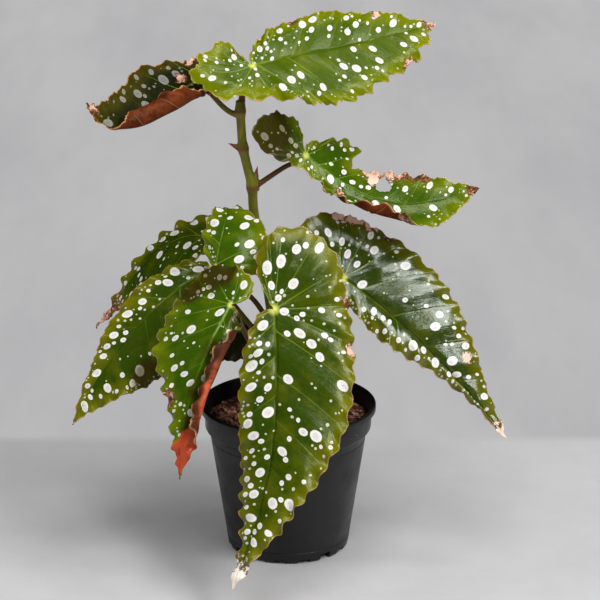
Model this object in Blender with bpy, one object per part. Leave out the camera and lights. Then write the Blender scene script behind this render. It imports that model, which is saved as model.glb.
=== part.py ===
# Potted begonia: a black nursery pot of coir mix, two canes and ten spotted leaves.
# Frame: origin at the centre of the pot's underside, X to the right, Y away from the viewer, Z up.
# Lengths below are millimetres and angles are degrees.
import math

import bmesh
import bpy
import numpy as np
from mathutils import Matrix, Vector
from mathutils.geometry import delaunay_2d_cdt

MM = 0.001
GAP = 0.35

# Pot: thin wall, rolled lip, collar and tapered body
POT_HEIGHT = 103.0
LIP_RADIUS = 60.0
LIP_HEIGHT = 5.0
LIP_WIDTH = 3.2
COLLAR_RADIUS = 57.2
COLLAR_FOOT_Z = 86.5
BODY_TOP_RADIUS = 53.6
BODY_TOP_Z = 83.0
BASE_RADIUS = 41.5
BASE_ROUND = 2.6
WALL = 1.6
FLOOR = 2.0
POT_SEGMENTS = 48
SLOT_COUNT = 16
SLOT_WIDTH = 8.0
SLOT_REACH = (34.5, 45.0)
SLOT_FOOT = -2.0
SLOT_LOW = 1.6
SLOT_TALL = 4.2
SLOT_TURN = -7.0

# Soil: coir and bark mix, with a lumpy top
SOIL_TOP = 92.0
SOIL_LUMP = 1.3
SOIL_RINGS = 8
SOIL_SEED = 7

# Canes and leaf stalks
CANE_SIDES = 10
STALK_SIDES = 8
STALK_RADIUS = (2.0, 1.5)
PATH_STEP = 5.0
NODE_SWELL = 0.9
NODE_SPREAD = 3.5
STIPULE_RADIUS = 3.2
STIPULE_LENGTH = 12.0
FOOT_Z = 60.0
CANES = {
    "main_cane": {
        "path": [(-1, 2, FOOT_Z), (-3.5, 2, 100), (-9, 4, 150), (-16, 8, 197.3), (-22.6, 10, 233),
                 (-23.8, 5, 253.3), (-26.4, 4, 265.7), (-29.6, 3, 281), (-30.8, 2, 297), (-31.4, 1, 314)],
        "radii": (4.1, 3.4),
        "nodes": [150, 203, 253.5, 281, 307],
        "stipules": [(-23.8, 5, 253, 50, 62), (-29.6, 3, 280, 185, 25), (-31, 1, 305, 20, 75),
                     (-16, 8, 200, 200, 50)],
        "color": (0.20, 0.21, 0.05),
    },
    "front_cane": {
        "path": [(-14, -20, FOOT_Z), (-14.5, -21, 100), (-16, -21, 140), (-19, -20, 168)],
        "radii": (3.6, 3.0),
        "nodes": [108, 138, 165],
        "stipules": [(-14.6, -21, 108, 160, 50), (-16, -21, 139, 20, 50)],
        "color": (0.22, 0.20, 0.06),
    },
}
SOIL_PATH_TOP = 98.0

# Leaves: blade outlines in leaf lengths, from the stalk's seat (0, 0) to the tip (1, 0)
WIDE_HALF = [(0, 0), (-0.06, -0.045), (-0.15, -0.085), (-0.23, -0.055), (-0.285, 0.02), (-0.29, 0.10),
             (-0.255, 0.18), (-0.18, 0.24), (-0.07, 0.275), (0.05, 0.295), (0.17, 0.305), (0.30, 0.30),
             (0.42, 0.285), (0.53, 0.25), (0.64, 0.205), (0.74, 0.15), (0.83, 0.095), (0.91, 0.045),
             (0.96, 0.017), (1, 0)]
NARROW_HALF = [(0, 0), (0, -0.05), (0.04, -0.10), (0.12, -0.15), (0.22, -0.18), (0.34, -0.185),
               (0.46, -0.17), (0.58, -0.14), (0.70, -0.10), (0.81, -0.06), (0.90, -0.028), (0.96, -0.010),
               (1, 0)]
TORN_HALF = [(0, 0), (-0.035, -0.06), (0.015, -0.135), (0.11, -0.225), (0.18, -0.28), (0.28, -0.285),
             (0.25, -0.21), (0.27, -0.155), (0.33, -0.16), (0.405, -0.175), (0.51, -0.205), (0.60, -0.205),
             (0.685, -0.175), (0.77, -0.145), (0.88, -0.085), (0.965, -0.03), (1, 0)]
STATIONS = (-0.3, 0.0, 0.35, 0.7, 1.0)
BLADE_THICKNESS = 0.8
TOOTH_PITCH = 6.0
TOOTH_HEIGHT = 0.8
MESH_SIZE = 8.5
RUFFLE_REACH = 0.11
SEAT_CALM = 0.15
CURL_SPAN = 0.3
ARC_SAMPLES = 12

# Each leaf: seat, length, five-station rows along the midrib, and its stalk's route from the cane
LEAVES = {
    "leaf_top_right": {
        "at": (-23, 0, 338), "length": 133, "side": -1,
        "heading": (10, 22, 22, 22, 22), "pitch": (-40, 4, 4, 9, 11), "roll": (-60, -45, -45, -45, -45),
        "wide": (0.75, 0.68, 1.05, 1.25, 2.4), "narrow": (1.0, 1.0, 1.15, 1.6, 2.4), "inner": 1.5,
        "ruffle": 2.2,
        "cane": "main_cane", "stalk": [(-31.4, 1, 310), (-29, 3, 323), (-25.8, 5.5, 331)],
        "color": (0.12, 0.26, 0.03),
    },
    "leaf_top_left": {
        "at": (-55, 5, 329), "length": 94, "side": -1,
        "heading": 210, "pitch": (-20, -20, -22, 3, 55), "roll": 0,
        "fold_wide": (45, 45, 52, 52, 50), "curl_wide": 20,
        "fold_narrow": (-40, -40, -45, -55, -45), "curl_narrow": (120, 120, 180, 220, 90),
        "wide": (0.6, 0.55, 0.95, 1.0, 1.3), "narrow": (1.8, 1.6, 1.95, 3.2, 1.2), "mesh": 5.5,
        "ruffle": 1.0,
        "cane": "main_cane", "stalk": [(-31.2, 1, 303), (-40, 3, 307), (-48.5, 7, 314.5), (-54, 9, 321)],
        "color": (0.06, 0.11, 0.02),
    },
    "leaf_middle_right": {
        "at": (12, 0, 277), "length": 127, "side": -1,
        "heading": 0, "pitch": (-75, -45, -27, 8, 22), "roll": (-50, -40, -30, -40, -50),
        "fold_wide": (0, -10, -38, -12, 0), "curl_wide": (0, 0, 440, 130, 0),
        "wide": (1.15, 0.3, 0.5, 1.05, 1.3), "torn": True,
        "cane": "main_cane", "stalk": [(-23.8, 5, 252.3), (-13, 5.5, 260), (-1, 6, 267.8), (7, 5.5, 271)],
        "color": (0.07, 0.20, 0.03),
    },
    "leaf_front": {
        "at": (-9, -58, 188.6), "length": 186, "side": 1,
        "heading": (275, 278, 265, 235, 220), "pitch": (-60, -65, -66, -62, -60), "roll": 0,
        "wide": (1.0, 0.92, 0.88, 0.76, 0.75), "narrow": (0.6, 0.7, 0.7, 0.8, 0.9), "inner": 0.6,
        "cane": "front_cane", "stalk": [(-19, -20, 166), (-15, -33, 178), (-11, -47, 183)],
        "color": (0.06, 0.17, 0.03),
    },
    "leaf_right": {
        "at": (37, -8, 194), "length": 155, "side": 1,
        "heading": -15, "pitch": (-42, -34, -40, -47, -50), "roll": -50,
        "wide": (0.95, 0.95, 0.9, 0.68, 0.55), "narrow": (0.6, 0.6, 0.6, 0.3, 0.3),
        "cane": "main_cane", "stalk": [(-11.7, 5.5, 168), (2, 8, 180), (18, 7, 189), (30, 2, 191.5)],
        "color": (0.07, 0.16, 0.04),
    },
    "leaf_front_left": {
        "at": (-37, -62, 193.4), "length": 122, "side": -1,
        "heading": (240, 236, 230, 235, 270), "pitch": (-62, -42, -55, -72, -80), "roll": 0,
        "fold_wide": -5, "fold_narrow": (-60, -80, -85, -85, -60), "curl_narrow": (400, 500, 520, 700, 900),
        "wide": (1.3, 1.2, 1.25, 0.55, 0.3), "narrow": (0.9, 1.0, 1.12, 1.5, 1.8), "lobe": 0.75, "mesh": 5.5,
        "seat_gap": 1.9,
        "cane": "front_cane", "stalk": [(-16, -21, 138), (-26, -36, 160), (-33, -50, 180)],
        "color": (0.07, 0.18, 0.03),
    },
    "leaf_low_left": {
        "at": (-52, 4, 197), "length": 143, "side": 1,
        "heading": 205, "pitch": (35, -18, -38, -52, -60), "roll": 32, "inner": 0.4, "lobe": 0.55,
        "wide": (0.4, 0.55, 1.05, 1.15, 1.1), "narrow": 0.8,
        "cane": "main_cane", "stalk": [(-9, 4, 150), (-22, 13, 170), (-39, 13, 185), (-49, 8, 190)],
        "color": (0.05, 0.13, 0.02),
    },
    "leaf_upper_centre": {
        "at": (-47.4, -30, 209.7), "length": 82, "side": -1,
        "heading": (58, 62, 78, 100, 110), "pitch": (80, 68, 34, -15, -40), "roll": (10, 10, 8, 0, 0),
        "curl_wide": -45, "curl_narrow": -45,
        "wide": (1.0, 1.4, 1.25, 0.6, 0.5), "narrow": (0.9, 0.95, 1.0, 0.8, 0.7),
        "inner": -0.8, "lobe": 0.2, "ruffle": 1.0,
        "cane": "front_cane", "stalk": [(-18, -20.3, 156), (-33, -22, 176), (-45, -19, 192)],
        "color": (0.07, 0.20, 0.03),
    },
    "leaf_upper_left": {
        "at": (-45, 38, 208), "length": 120, "side": -1,
        "heading": (165, 168, 172, 180, 185), "pitch": (0, 8, -35, -55, -50), "roll": 20,
        "inner": 0.4, "lobe": 0.5, "wide": (0.7, 0.7, 0.5, 0.4, 0.4), "narrow": (1.2, 1.5, 1.85, 1.9, 0.8),
        "cane": "main_cane", "stalk": [(-17, 8, 202), (-26, 19, 200), (-36, 33, 197), (-43.5, 41, 199.5)],
        "color": (0.05, 0.12, 0.02),
    },
    "leaf_low_rear": {
        "at": (-24, 14, 150), "length": 72, "side": 1,
        "heading": 175, "pitch": -10, "roll": 60, "lobe": 0.5, "wide": 0.9,
        "cane": "main_cane", "stalk": [(-5, 3, 114), (-12, 12, 130), (-20, 18, 143)],
        "color": (0.03, 0.06, 0.02),
    },
}
TORN_HOLE = {"centre": (0.47, -0.11), "size": (0.045, 0.052), "sides": 9}


# Scene helpers
def clear_scene():
    for item in list(bpy.data.objects):
        bpy.data.objects.remove(item, do_unlink=True)


def material(name, color, roughness):
    made = bpy.data.materials.new(name)
    made.use_nodes = True
    shader = made.node_tree.nodes["Principled BSDF"]
    shader.inputs["Base Color"].default_value = (*color, 1.0)
    shader.inputs["Roughness"].default_value = roughness
    shader.inputs["Metallic"].default_value = 0.0
    return made


def add_object(name, mesh, finish=None):
    item = bpy.data.objects.new(name, mesh)
    bpy.context.scene.collection.objects.link(item)
    if finish:
        item.data.materials.append(finish)
    return item


def as_cutter(item):
    item.hide_render = True
    item.display_type = "WIRE"
    return item


def cut(target, cutter):
    change = target.modifiers.new(cutter.name, "BOOLEAN")
    change.operation = "DIFFERENCE"
    change.solver = "EXACT"
    change.object = cutter


# Turned shapes: a closed profile of (radius, height) points spun round Z
def turned(name, profile, steps):
    shape = bmesh.new()
    points = [shape.verts.new((radius * MM, 0, height * MM)) for radius, height in profile]
    edges = [shape.edges.new((points[i], points[i + 1])) for i in range(len(points) - 1)]
    bmesh.ops.spin(shape, geom=points + edges, cent=(0, 0, 0), axis=(0, 0, 1), dvec=(0, 0, 0),
                   angle=math.tau, steps=steps, use_merge=True)
    bmesh.ops.remove_doubles(shape, verts=shape.verts, dist=1e-6)
    open_edges = [edge for edge in shape.edges if edge.is_boundary]
    bmesh.ops.holes_fill(shape, edges=open_edges, sides=0)
    bmesh.ops.recalc_face_normals(shape, faces=shape.faces)
    mesh = bpy.data.meshes.new(name)
    shape.to_mesh(mesh)
    shape.free()
    return mesh


def arc(centre, radius, start, end, steps):
    turns = [math.radians(start + (end - start) * i / steps) for i in range(steps + 1)]
    return [(centre[0] + radius * math.cos(turn), centre[1] + radius * math.sin(turn)) for turn in turns]


def pot_profile():
    lip_foot = POT_HEIGHT - LIP_HEIGHT
    round_top = LIP_WIDTH / 2
    lip_centre = (LIP_RADIUS - round_top, POT_HEIGHT - round_top)
    outer = arc((BASE_RADIUS - BASE_ROUND, BASE_ROUND), BASE_ROUND, -90, 0, 3)
    outer += [(BODY_TOP_RADIUS, BODY_TOP_Z), (COLLAR_RADIUS - 1.2, COLLAR_FOOT_Z - 1.2),
              (COLLAR_RADIUS - 0.6, COLLAR_FOOT_Z), (COLLAR_RADIUS, lip_foot - 0.8),
              (LIP_RADIUS - 0.5, lip_foot), (LIP_RADIUS, lip_foot + 0.6)]
    outer += arc(lip_centre, round_top, 0, 180, 6)
    inner = [(COLLAR_RADIUS - WALL, lip_foot - 1.0), (COLLAR_RADIUS - 0.6 - WALL, COLLAR_FOOT_Z - 0.4),
             (BODY_TOP_RADIUS - WALL, BODY_TOP_Z), (BASE_RADIUS - WALL, FLOOR + 1.4),
             (BASE_RADIUS - WALL - 1.4, FLOOR)]
    return outer + inner


def build_pot():
    plastic = material("pot", (0.02, 0.02, 0.022), 0.55)
    pot = add_object("pot", turned("pot", pot_profile(), POT_SEGMENTS), plastic)
    shape = bmesh.new()
    for number in range(SLOT_COUNT):
        turn = math.radians(SLOT_TURN + 360.0 * number / SLOT_COUNT - 90)
        top = SLOT_TALL if number % 4 == 2 else SLOT_LOW
        made = bmesh.ops.create_cube(shape, size=1.0)["verts"]
        middle = Vector(((SLOT_REACH[0] + SLOT_REACH[1]) / 2, 0, (top + SLOT_FOOT) / 2))
        bmesh.ops.scale(shape, verts=made, vec=(SLOT_REACH[1] - SLOT_REACH[0], SLOT_WIDTH, top - SLOT_FOOT))
        bmesh.ops.translate(shape, verts=made, vec=middle)
        bmesh.ops.rotate(shape, verts=made, cent=(0, 0, 0), matrix=Matrix.Rotation(turn, 3, "Z"))
        bmesh.ops.scale(shape, verts=made, vec=(MM, MM, MM))
    mesh = bpy.data.meshes.new("drain_slots")
    shape.to_mesh(mesh)
    shape.free()
    cut(pot, as_cutter(add_object("drain_slots", mesh)))
    pot.data.shade_smooth()
    pot.data.set_sharp_from_angle(angle=math.radians(30))
    return pot


# Soil: follows the inside of the pot and has a lumpy top with a hole for each cane
def soil_profile():
    wall = WALL + GAP
    outline = [(BASE_RADIUS - wall - 1.6, FLOOR + GAP), (BASE_RADIUS - wall, FLOOR + 1.8),
               (BODY_TOP_RADIUS - wall, BODY_TOP_Z + 0.2), (COLLAR_RADIUS - 0.6 - wall, COLLAR_FOOT_Z + 0.2)]
    edge = COLLAR_RADIUS - 0.5 - wall
    outline += [(edge * (1 - ring / SOIL_RINGS), SOIL_TOP) for ring in range(SOIL_RINGS)]
    return outline + [(0, SOIL_TOP)]


def build_soil(cane_paths):
    mesh = turned("soil", soil_profile(), 36)
    random = np.random.default_rng(SOIL_SEED)
    limit = (COLLAR_RADIUS - 5) * MM
    for vertex in mesh.vertices:
        lump = SOIL_LUMP * random.uniform(-1, 1)
        swell = 0.7 * math.sin(vertex.co.x / MM * 0.09 + 1) * math.cos(vertex.co.y / MM * 0.11)
        if vertex.co.z > (SOIL_TOP - 0.1) * MM and vertex.co.to_2d().length < limit:
            vertex.co.z += (lump + swell) * MM
    soil = add_object("soil", mesh, material("soil", (0.09, 0.035, 0.018), 0.95))
    for name, (path, radii) in cane_paths.items():
        foot = [place for place in path if place[2] < SOIL_PATH_TOP]
        down = (foot[0] - foot[1]) / np.linalg.norm(foot[0] - foot[1])
        line = [foot[0] + down * GAP] + foot
        hole = tube(f"{name}_hole", line, [radii[0] + GAP] * len(line), CANE_SIDES)
        cut(soil, as_cutter(hole))
    return soil


# Paths: a smooth line through hand-set points, sampled at even steps
def smooth_line(points, count=None, step=None, share=12):
    points = np.array(points, float)
    padded = np.vstack([2 * points[0] - points[1], points, 2 * points[-1] - points[-2]])
    line = []
    for i in range(1, len(padded) - 2):
        before, start, end, after = padded[i - 1:i + 3]
        t = np.linspace(0, 1, share, endpoint=False)[:, None]
        second = 2 * before - 5 * start + 4 * end - after
        third = 3 * start - before - 3 * end + after
        line.append(0.5 * (2 * start + (end - before) * t + second * t ** 2 + third * t ** 3))
    line = np.vstack(line + [points[-1:]])
    run = np.r_[0, np.cumsum(np.linalg.norm(np.diff(line, axis=0), axis=1))]
    count = count or max(3, round(run[-1] / step) + 1)
    at = np.linspace(0, run[-1], count)
    return np.stack([np.interp(at, run, line[:, axis]) for axis in range(line.shape[1])], 1), run[-1]


def tube(name, path, radii, sides):
    curve = bpy.data.curves.new(name, "CURVE")
    curve.dimensions = "3D"
    curve.bevel_depth = MM
    curve.bevel_resolution = sides // 2 - 2
    curve.use_fill_caps = True
    spline = curve.splines.new("POLY")
    spline.points.add(len(path) - 1)
    for point, place, radius in zip(spline.points, path, radii):
        point.co = (*(np.array(place) * MM), 1)
        point.radius = radius
    drawn = add_object(name, curve)
    mesh = bpy.data.meshes.new_from_object(drawn.evaluated_get(bpy.context.evaluated_depsgraph_get()))
    bpy.data.objects.remove(drawn, do_unlink=True)
    return add_object(name, mesh)


def stipule(name, place):
    x, y, z, heading, rise = place
    shape = bmesh.new()
    bmesh.ops.create_cone(shape, cap_ends=True, segments=5, radius1=STIPULE_RADIUS * MM,
                          radius2=0.35 * MM, depth=STIPULE_LENGTH * MM)
    bmesh.ops.scale(shape, verts=shape.verts, vec=(0.55, 1, 1))
    turn, lift = math.radians(heading), math.radians(rise)
    way = Vector((math.cos(turn) * math.cos(lift), math.sin(turn) * math.cos(lift), math.sin(lift)))
    aim = way.to_track_quat("Z", "Y").to_matrix()
    bmesh.ops.rotate(shape, verts=shape.verts, cent=(0, 0, 0), matrix=aim)
    bmesh.ops.translate(shape, verts=shape.verts, vec=(Vector((x, y, z)) + way * STIPULE_LENGTH * 0.46) * MM)
    mesh = bpy.data.meshes.new(name)
    shape.to_mesh(mesh)
    shape.free()
    return add_object(name, mesh)


def cane_path(values):
    path, _ = smooth_line(values["path"], step=PATH_STEP)
    radii = np.linspace(*values["radii"], len(path))
    for height in values["nodes"]:
        radii = radii + NODE_SWELL * np.exp(-((path[:, 2] - height) / NODE_SPREAD) ** 2)
    return path, radii


def build_cane(name, values, path, radii, blades):
    cane = tube(name, path, radii, CANE_SIDES)
    group = bpy.data.collections.new(f"{name}_growth")
    bpy.context.scene.collection.children.link(group)
    grown = [stipule(f"{name}_stipule_{number}", place) for number, place in enumerate(values["stipules"])]
    for leaf, blade in blades.items():
        if LEAVES[leaf]["cane"] == name:
            route, _ = smooth_line(LEAVES[leaf]["stalk"] + blade.seat(), step=PATH_STEP)
            grown.append(tube(f"{leaf}_stalk", route, np.linspace(*STALK_RADIUS, len(route)), STALK_SIDES))
    for item in grown:
        bpy.context.scene.collection.objects.unlink(item)
        group.objects.link(item)
    join = cane.modifiers.new("growth", "BOOLEAN")
    join.operation = "UNION"
    join.solver = "EXACT"
    join.operand_type = "COLLECTION"
    join.collection = group
    joined = bpy.data.meshes.new_from_object(cane.evaluated_get(bpy.context.evaluated_depsgraph_get()))
    cane.modifiers.clear()
    cane.data = joined
    for item in grown:
        bpy.data.objects.remove(item, do_unlink=True)
    bpy.data.collections.remove(group)
    cane.data.materials.clear()
    cane.data.materials.append(material(name, values["color"], 0.5))
    return cane


# Leaf blades: a flat outline laid over a bent midrib, with folded and curled halves
def station_row(value):
    return np.array(np.broadcast_to(np.array(value, float), len(STATIONS)))


def along(values, x):
    rows = np.array(STATIONS)
    x = np.clip(x, rows[0], rows[-1])
    slopes = np.gradient(values, rows)
    i = np.clip(np.searchsorted(rows, x, side="right") - 1, 0, len(rows) - 2)
    span = rows[i + 1] - rows[i]
    t = (x - rows[i]) / span
    return (values[i] * (2 * t ** 3 - 3 * t ** 2 + 1) + span * slopes[i] * (t ** 3 - 2 * t ** 2 + t)
            + values[i + 1] * (3 * t ** 2 - 2 * t ** 3) + span * slopes[i + 1] * (t ** 3 - t ** 2))


class Blade:
    def __init__(self, values):
        self.values = values
        self.at = np.array(values["at"], float)
        self.length = float(values["length"])
        self.side = values["side"]
        names = ("heading", "pitch", "roll", "fold_wide", "fold_narrow", "curl_wide", "curl_narrow")
        self.rows = {name: station_row(values.get(name, 0)) for name in names}
        self.wide = self.half(WIDE_HALF, values.get("wide", 1.0))
        torn = values.get("torn", False)
        width = 1.0 if torn else values.get("narrow", 1.0)
        self.narrow = self.half(TORN_HALF if torn else NARROW_HALF, width)
        self.spine_x = np.linspace(-0.32, 1.02, 135)
        middle = self.direction((self.spine_x[1:] + self.spine_x[:-1]) / 2)
        steps = middle * (self.spine_x[1] - self.spine_x[0]) * self.length
        spine = np.vstack([np.zeros(3), np.cumsum(steps, axis=0)])
        seat = np.array([np.interp(0, self.spine_x, spine[:, axis]) for axis in range(3)])
        self.spine = spine - seat + self.at

    def half(self, points, width):
        row = station_row(width)
        inner = self.values.get("inner", 1.0)
        lobe = self.values.get("lobe", 1.0)
        shaped = []
        for x, y in points:
            on_wide = points is WIDE_HALF
            factor = inner if on_wide and y < 0 else float(along(row, np.array(x)))
            shaped.append((x * (lobe if x < 0 and on_wide else 1.0), y * factor))
        return shaped

    def angle(self, name, x):
        return np.radians(along(self.rows[name], x))

    def direction(self, x):
        heading, pitch = self.angle("heading", x), self.angle("pitch", x)
        level = np.cos(pitch)
        return np.stack([level * np.cos(heading), level * np.sin(heading), np.sin(pitch)], -1)

    def frame(self, x):
        heading, pitch, roll = (self.angle(name, x) for name in ("heading", "pitch", "roll"))
        lean = -np.sin(pitch)
        up = np.stack([lean * np.cos(heading), lean * np.sin(heading), np.cos(pitch)], -1)
        left = np.stack([-np.sin(heading), np.cos(heading), np.zeros_like(heading)], -1)
        cosine, sine = np.cos(roll)[..., None], np.sin(roll)[..., None]
        return (left * cosine - up * sine) * self.side, up * cosine + left * sine

    def midrib(self, x):
        return np.stack([np.interp(x, self.spine_x, self.spine[:, axis]) for axis in range(3)], -1)

    # The stalk's last two points: straight up to the underside at the seat
    def seat(self):
        x = np.array([0.0])
        across, up = self.frame(x)
        wide, narrow = self.angle("fold_wide", x)[0], self.angle("fold_narrow", x)[0]
        out = up[0] * (math.cos(wide) + math.cos(narrow)) + across[0] * (math.sin(narrow) - math.sin(wide))
        out /= np.linalg.norm(out)
        end = self.at + self.direction(x)[0] * 1.5 - out * self.values.get("seat_gap", 1.3)
        return [tuple(end - out * 4.5), tuple(end)]

    def margin(self):
        return [smooth_line(half, count=160)[0] for half in (self.wide, self.narrow)]

    def margin_distance(self, points):
        nearest = np.full(len(points), 9.0)
        for line in self.margin():
            start, way = line[:-1], np.diff(line, axis=0)
            size = (way ** 2).sum(1)
            gap = points[:, None] - start[None]
            share = np.clip((gap * way).sum(2) / size, 0, 1)
            nearest = np.minimum(nearest, np.linalg.norm(gap - share[..., None] * way, axis=2).min(1))
        return nearest

    def place(self, points):
        x, y = points[:, 0], points[:, 1]
        across, up = self.frame(x)
        wide = y >= 0
        fold = np.where(wide, self.angle("fold_wide", x), self.angle("fold_narrow", x))
        curl = np.where(wide, self.angle("curl_wide", x), self.angle("curl_narrow", x))
        reach = np.abs(y)
        shares = (np.arange(ARC_SAMPLES) + 0.5) / ARC_SAMPLES
        bend = fold[:, None] + curl[:, None] * (reach[:, None] * shares / CURL_SPAN) ** 1.5
        sideways = np.cos(bend).mean(1) * y
        rise = np.sin(bend).mean(1) * reach
        edge = np.clip(1 - self.margin_distance(points) / RUFFLE_REACH, 0, 1) ** 2
        calm = np.clip(np.hypot(x, y) / SEAT_CALM, 0, 1) ** 2
        round_turn = np.arctan2(y - 0.08, (x - 0.25) * 0.55)
        waves = self.values.get("waves", max(7, round(self.length / 13)))
        ruffle = self.values.get("ruffle", 1.5) * np.sin(waves * round_turn + self.length) * edge * calm
        lift = self.length * rise + ruffle
        return self.midrib(x) + across * (self.length * sideways)[:, None] + up * lift[:, None]

    # Outline with a tooth tip and a valley in turn, as flat points in leaf lengths
    def toothed(self, half, outward):
        _, run = smooth_line(half, count=160)
        count = 2 * max(4, round(run * self.length / TOOTH_PITCH))
        line, _ = smooth_line(half, count=count + 1)
        way = np.gradient(line, axis=0)
        normal = outward * np.stack([-way[:, 1], way[:, 0]], 1) / np.linalg.norm(way, axis=1)[:, None]
        number = np.arange(count + 1)
        uneven = 0.75 + 0.25 * np.sin(1.7 * number)
        height = TOOTH_HEIGHT / self.length * np.where(number % 2, 1, -1) * uneven
        fade = np.clip(np.minimum(number / 4, (count - number) / 3), 0, 1)
        return line + normal * (height * fade)[:, None]

    def mesh(self, name):
        size = self.values.get("mesh", MESH_SIZE) / self.length
        wide = self.toothed(self.wide, 1)
        narrow = self.toothed(self.narrow, -1)
        outline = np.vstack([wide, narrow[-2:0:-1]])
        tip = len(wide) - 1
        rib_x = np.linspace(0, 1, max(6, round(0.8 / size)) + 1)[1:-1]
        rib = np.stack([rib_x, np.zeros_like(rib_x)], 1)
        holes = [torn_hole()] if self.values.get("torn") else []
        inside = self.inside_points(outline, size, holes)
        flat = np.vstack([outline, rib] + holes + [inside])
        first_rib = len(outline)
        chain = [0] + list(range(first_rib, first_rib + len(rib))) + [tip]
        edges = [(i, (i + 1) % len(outline)) for i in range(len(outline))]
        edges += list(zip(chain[:-1], chain[1:]))
        start = first_rib + len(rib)
        for hole in holes:
            edges += [(start + i, start + (i + 1) % len(hole)) for i in range(len(hole))]
        points, _, faces, *_ = delaunay_2d_cdt([Vector(point) for point in flat], edges, [], 1, 1e-7)
        points = np.array([tuple(point) for point in points])
        if holes:
            faces = [face for face in faces if not within(points[list(face)].mean(0), holes[0])]
        if self.side < 0:
            faces = [tuple(reversed(face)) for face in faces]
        made = bpy.data.meshes.new(name)
        made.from_pydata((self.place(points) * MM).tolist(), [], [list(face) for face in faces])
        made.validate()
        return made

    def inside_points(self, outline, size, holes):
        rows = []
        for number, y in enumerate(np.arange(-0.6, 0.6, size * 0.87)):
            rows += [(x + (number % 2) * size / 2, y) for x in np.arange(-0.35, 1.0, size)]
        grid = np.array(rows)
        clear = (self.margin_distance(grid) > 0.5 * size) & (np.abs(grid[:, 1]) > 0.45 * size)
        kept = [point for point in grid[clear] if within(point, outline)]
        for hole in holes:
            kept = [point for point in kept if np.linalg.norm(hole - point, axis=1).min() > 0.35 * size
                    and not within(point, hole)]
        return np.array(kept)


def torn_hole():
    (x, y), (width, height) = TORN_HOLE["centre"], TORN_HOLE["size"]
    turns = np.linspace(0, math.tau, TORN_HOLE["sides"], endpoint=False)
    ragged = 1 + 0.12 * np.sin(3 * turns + 0.6)
    return np.stack([x + width * ragged * np.cos(turns), y + height * ragged * np.sin(turns)], 1)


def within(point, outline):
    x, y = point
    start, end = outline, np.roll(outline, -1, axis=0)
    spans = (start[:, 1] > y) != (end[:, 1] > y)
    rise = np.where(spans, end[:, 1] - start[:, 1], 1.0)
    crossing = start[:, 0] + (y - start[:, 1]) / rise * (end[:, 0] - start[:, 0])
    return bool(np.count_nonzero(spans & (x < crossing)) % 2)


def build_leaf(name, blade):
    leaf = add_object(name, blade.mesh(name), material(name, blade.values["color"], 0.35))
    wall = leaf.modifiers.new("thickness", "SOLIDIFY")
    wall.thickness = BLADE_THICKNESS * MM
    wall.offset = 0.0
    return leaf


clear_scene()
blades = {name: Blade(values) for name, values in LEAVES.items()}
paths = {name: cane_path(values) for name, values in CANES.items()}
build_pot()
build_soil(paths)
for cane_name, cane_values in CANES.items():
    build_cane(cane_name, cane_values, *paths[cane_name], blades)
for leaf_name, leaf_blade in blades.items():
    build_leaf(leaf_name, leaf_blade)
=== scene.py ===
# Potted begonia, dressed for its picture: pot, coir mix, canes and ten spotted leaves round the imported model.
# Leaf rows, routes and radii are millimetres and degrees, as in the model's source; meshes are metres.
import math

import bmesh
import bpy
import numpy as np
from mathutils import Matrix, Vector


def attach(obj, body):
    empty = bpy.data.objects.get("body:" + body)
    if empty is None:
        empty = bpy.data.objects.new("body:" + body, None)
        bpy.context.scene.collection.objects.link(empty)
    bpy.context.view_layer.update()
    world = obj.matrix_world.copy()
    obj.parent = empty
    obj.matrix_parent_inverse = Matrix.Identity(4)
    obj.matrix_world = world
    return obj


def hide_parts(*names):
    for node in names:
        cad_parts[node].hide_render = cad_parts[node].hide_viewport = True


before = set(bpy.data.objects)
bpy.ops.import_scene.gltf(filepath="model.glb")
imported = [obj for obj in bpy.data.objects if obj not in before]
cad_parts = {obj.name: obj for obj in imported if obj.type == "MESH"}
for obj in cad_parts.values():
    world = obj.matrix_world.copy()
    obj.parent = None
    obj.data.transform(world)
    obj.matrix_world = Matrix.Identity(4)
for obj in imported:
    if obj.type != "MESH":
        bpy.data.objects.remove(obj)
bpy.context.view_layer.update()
mm = 0.001


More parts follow.
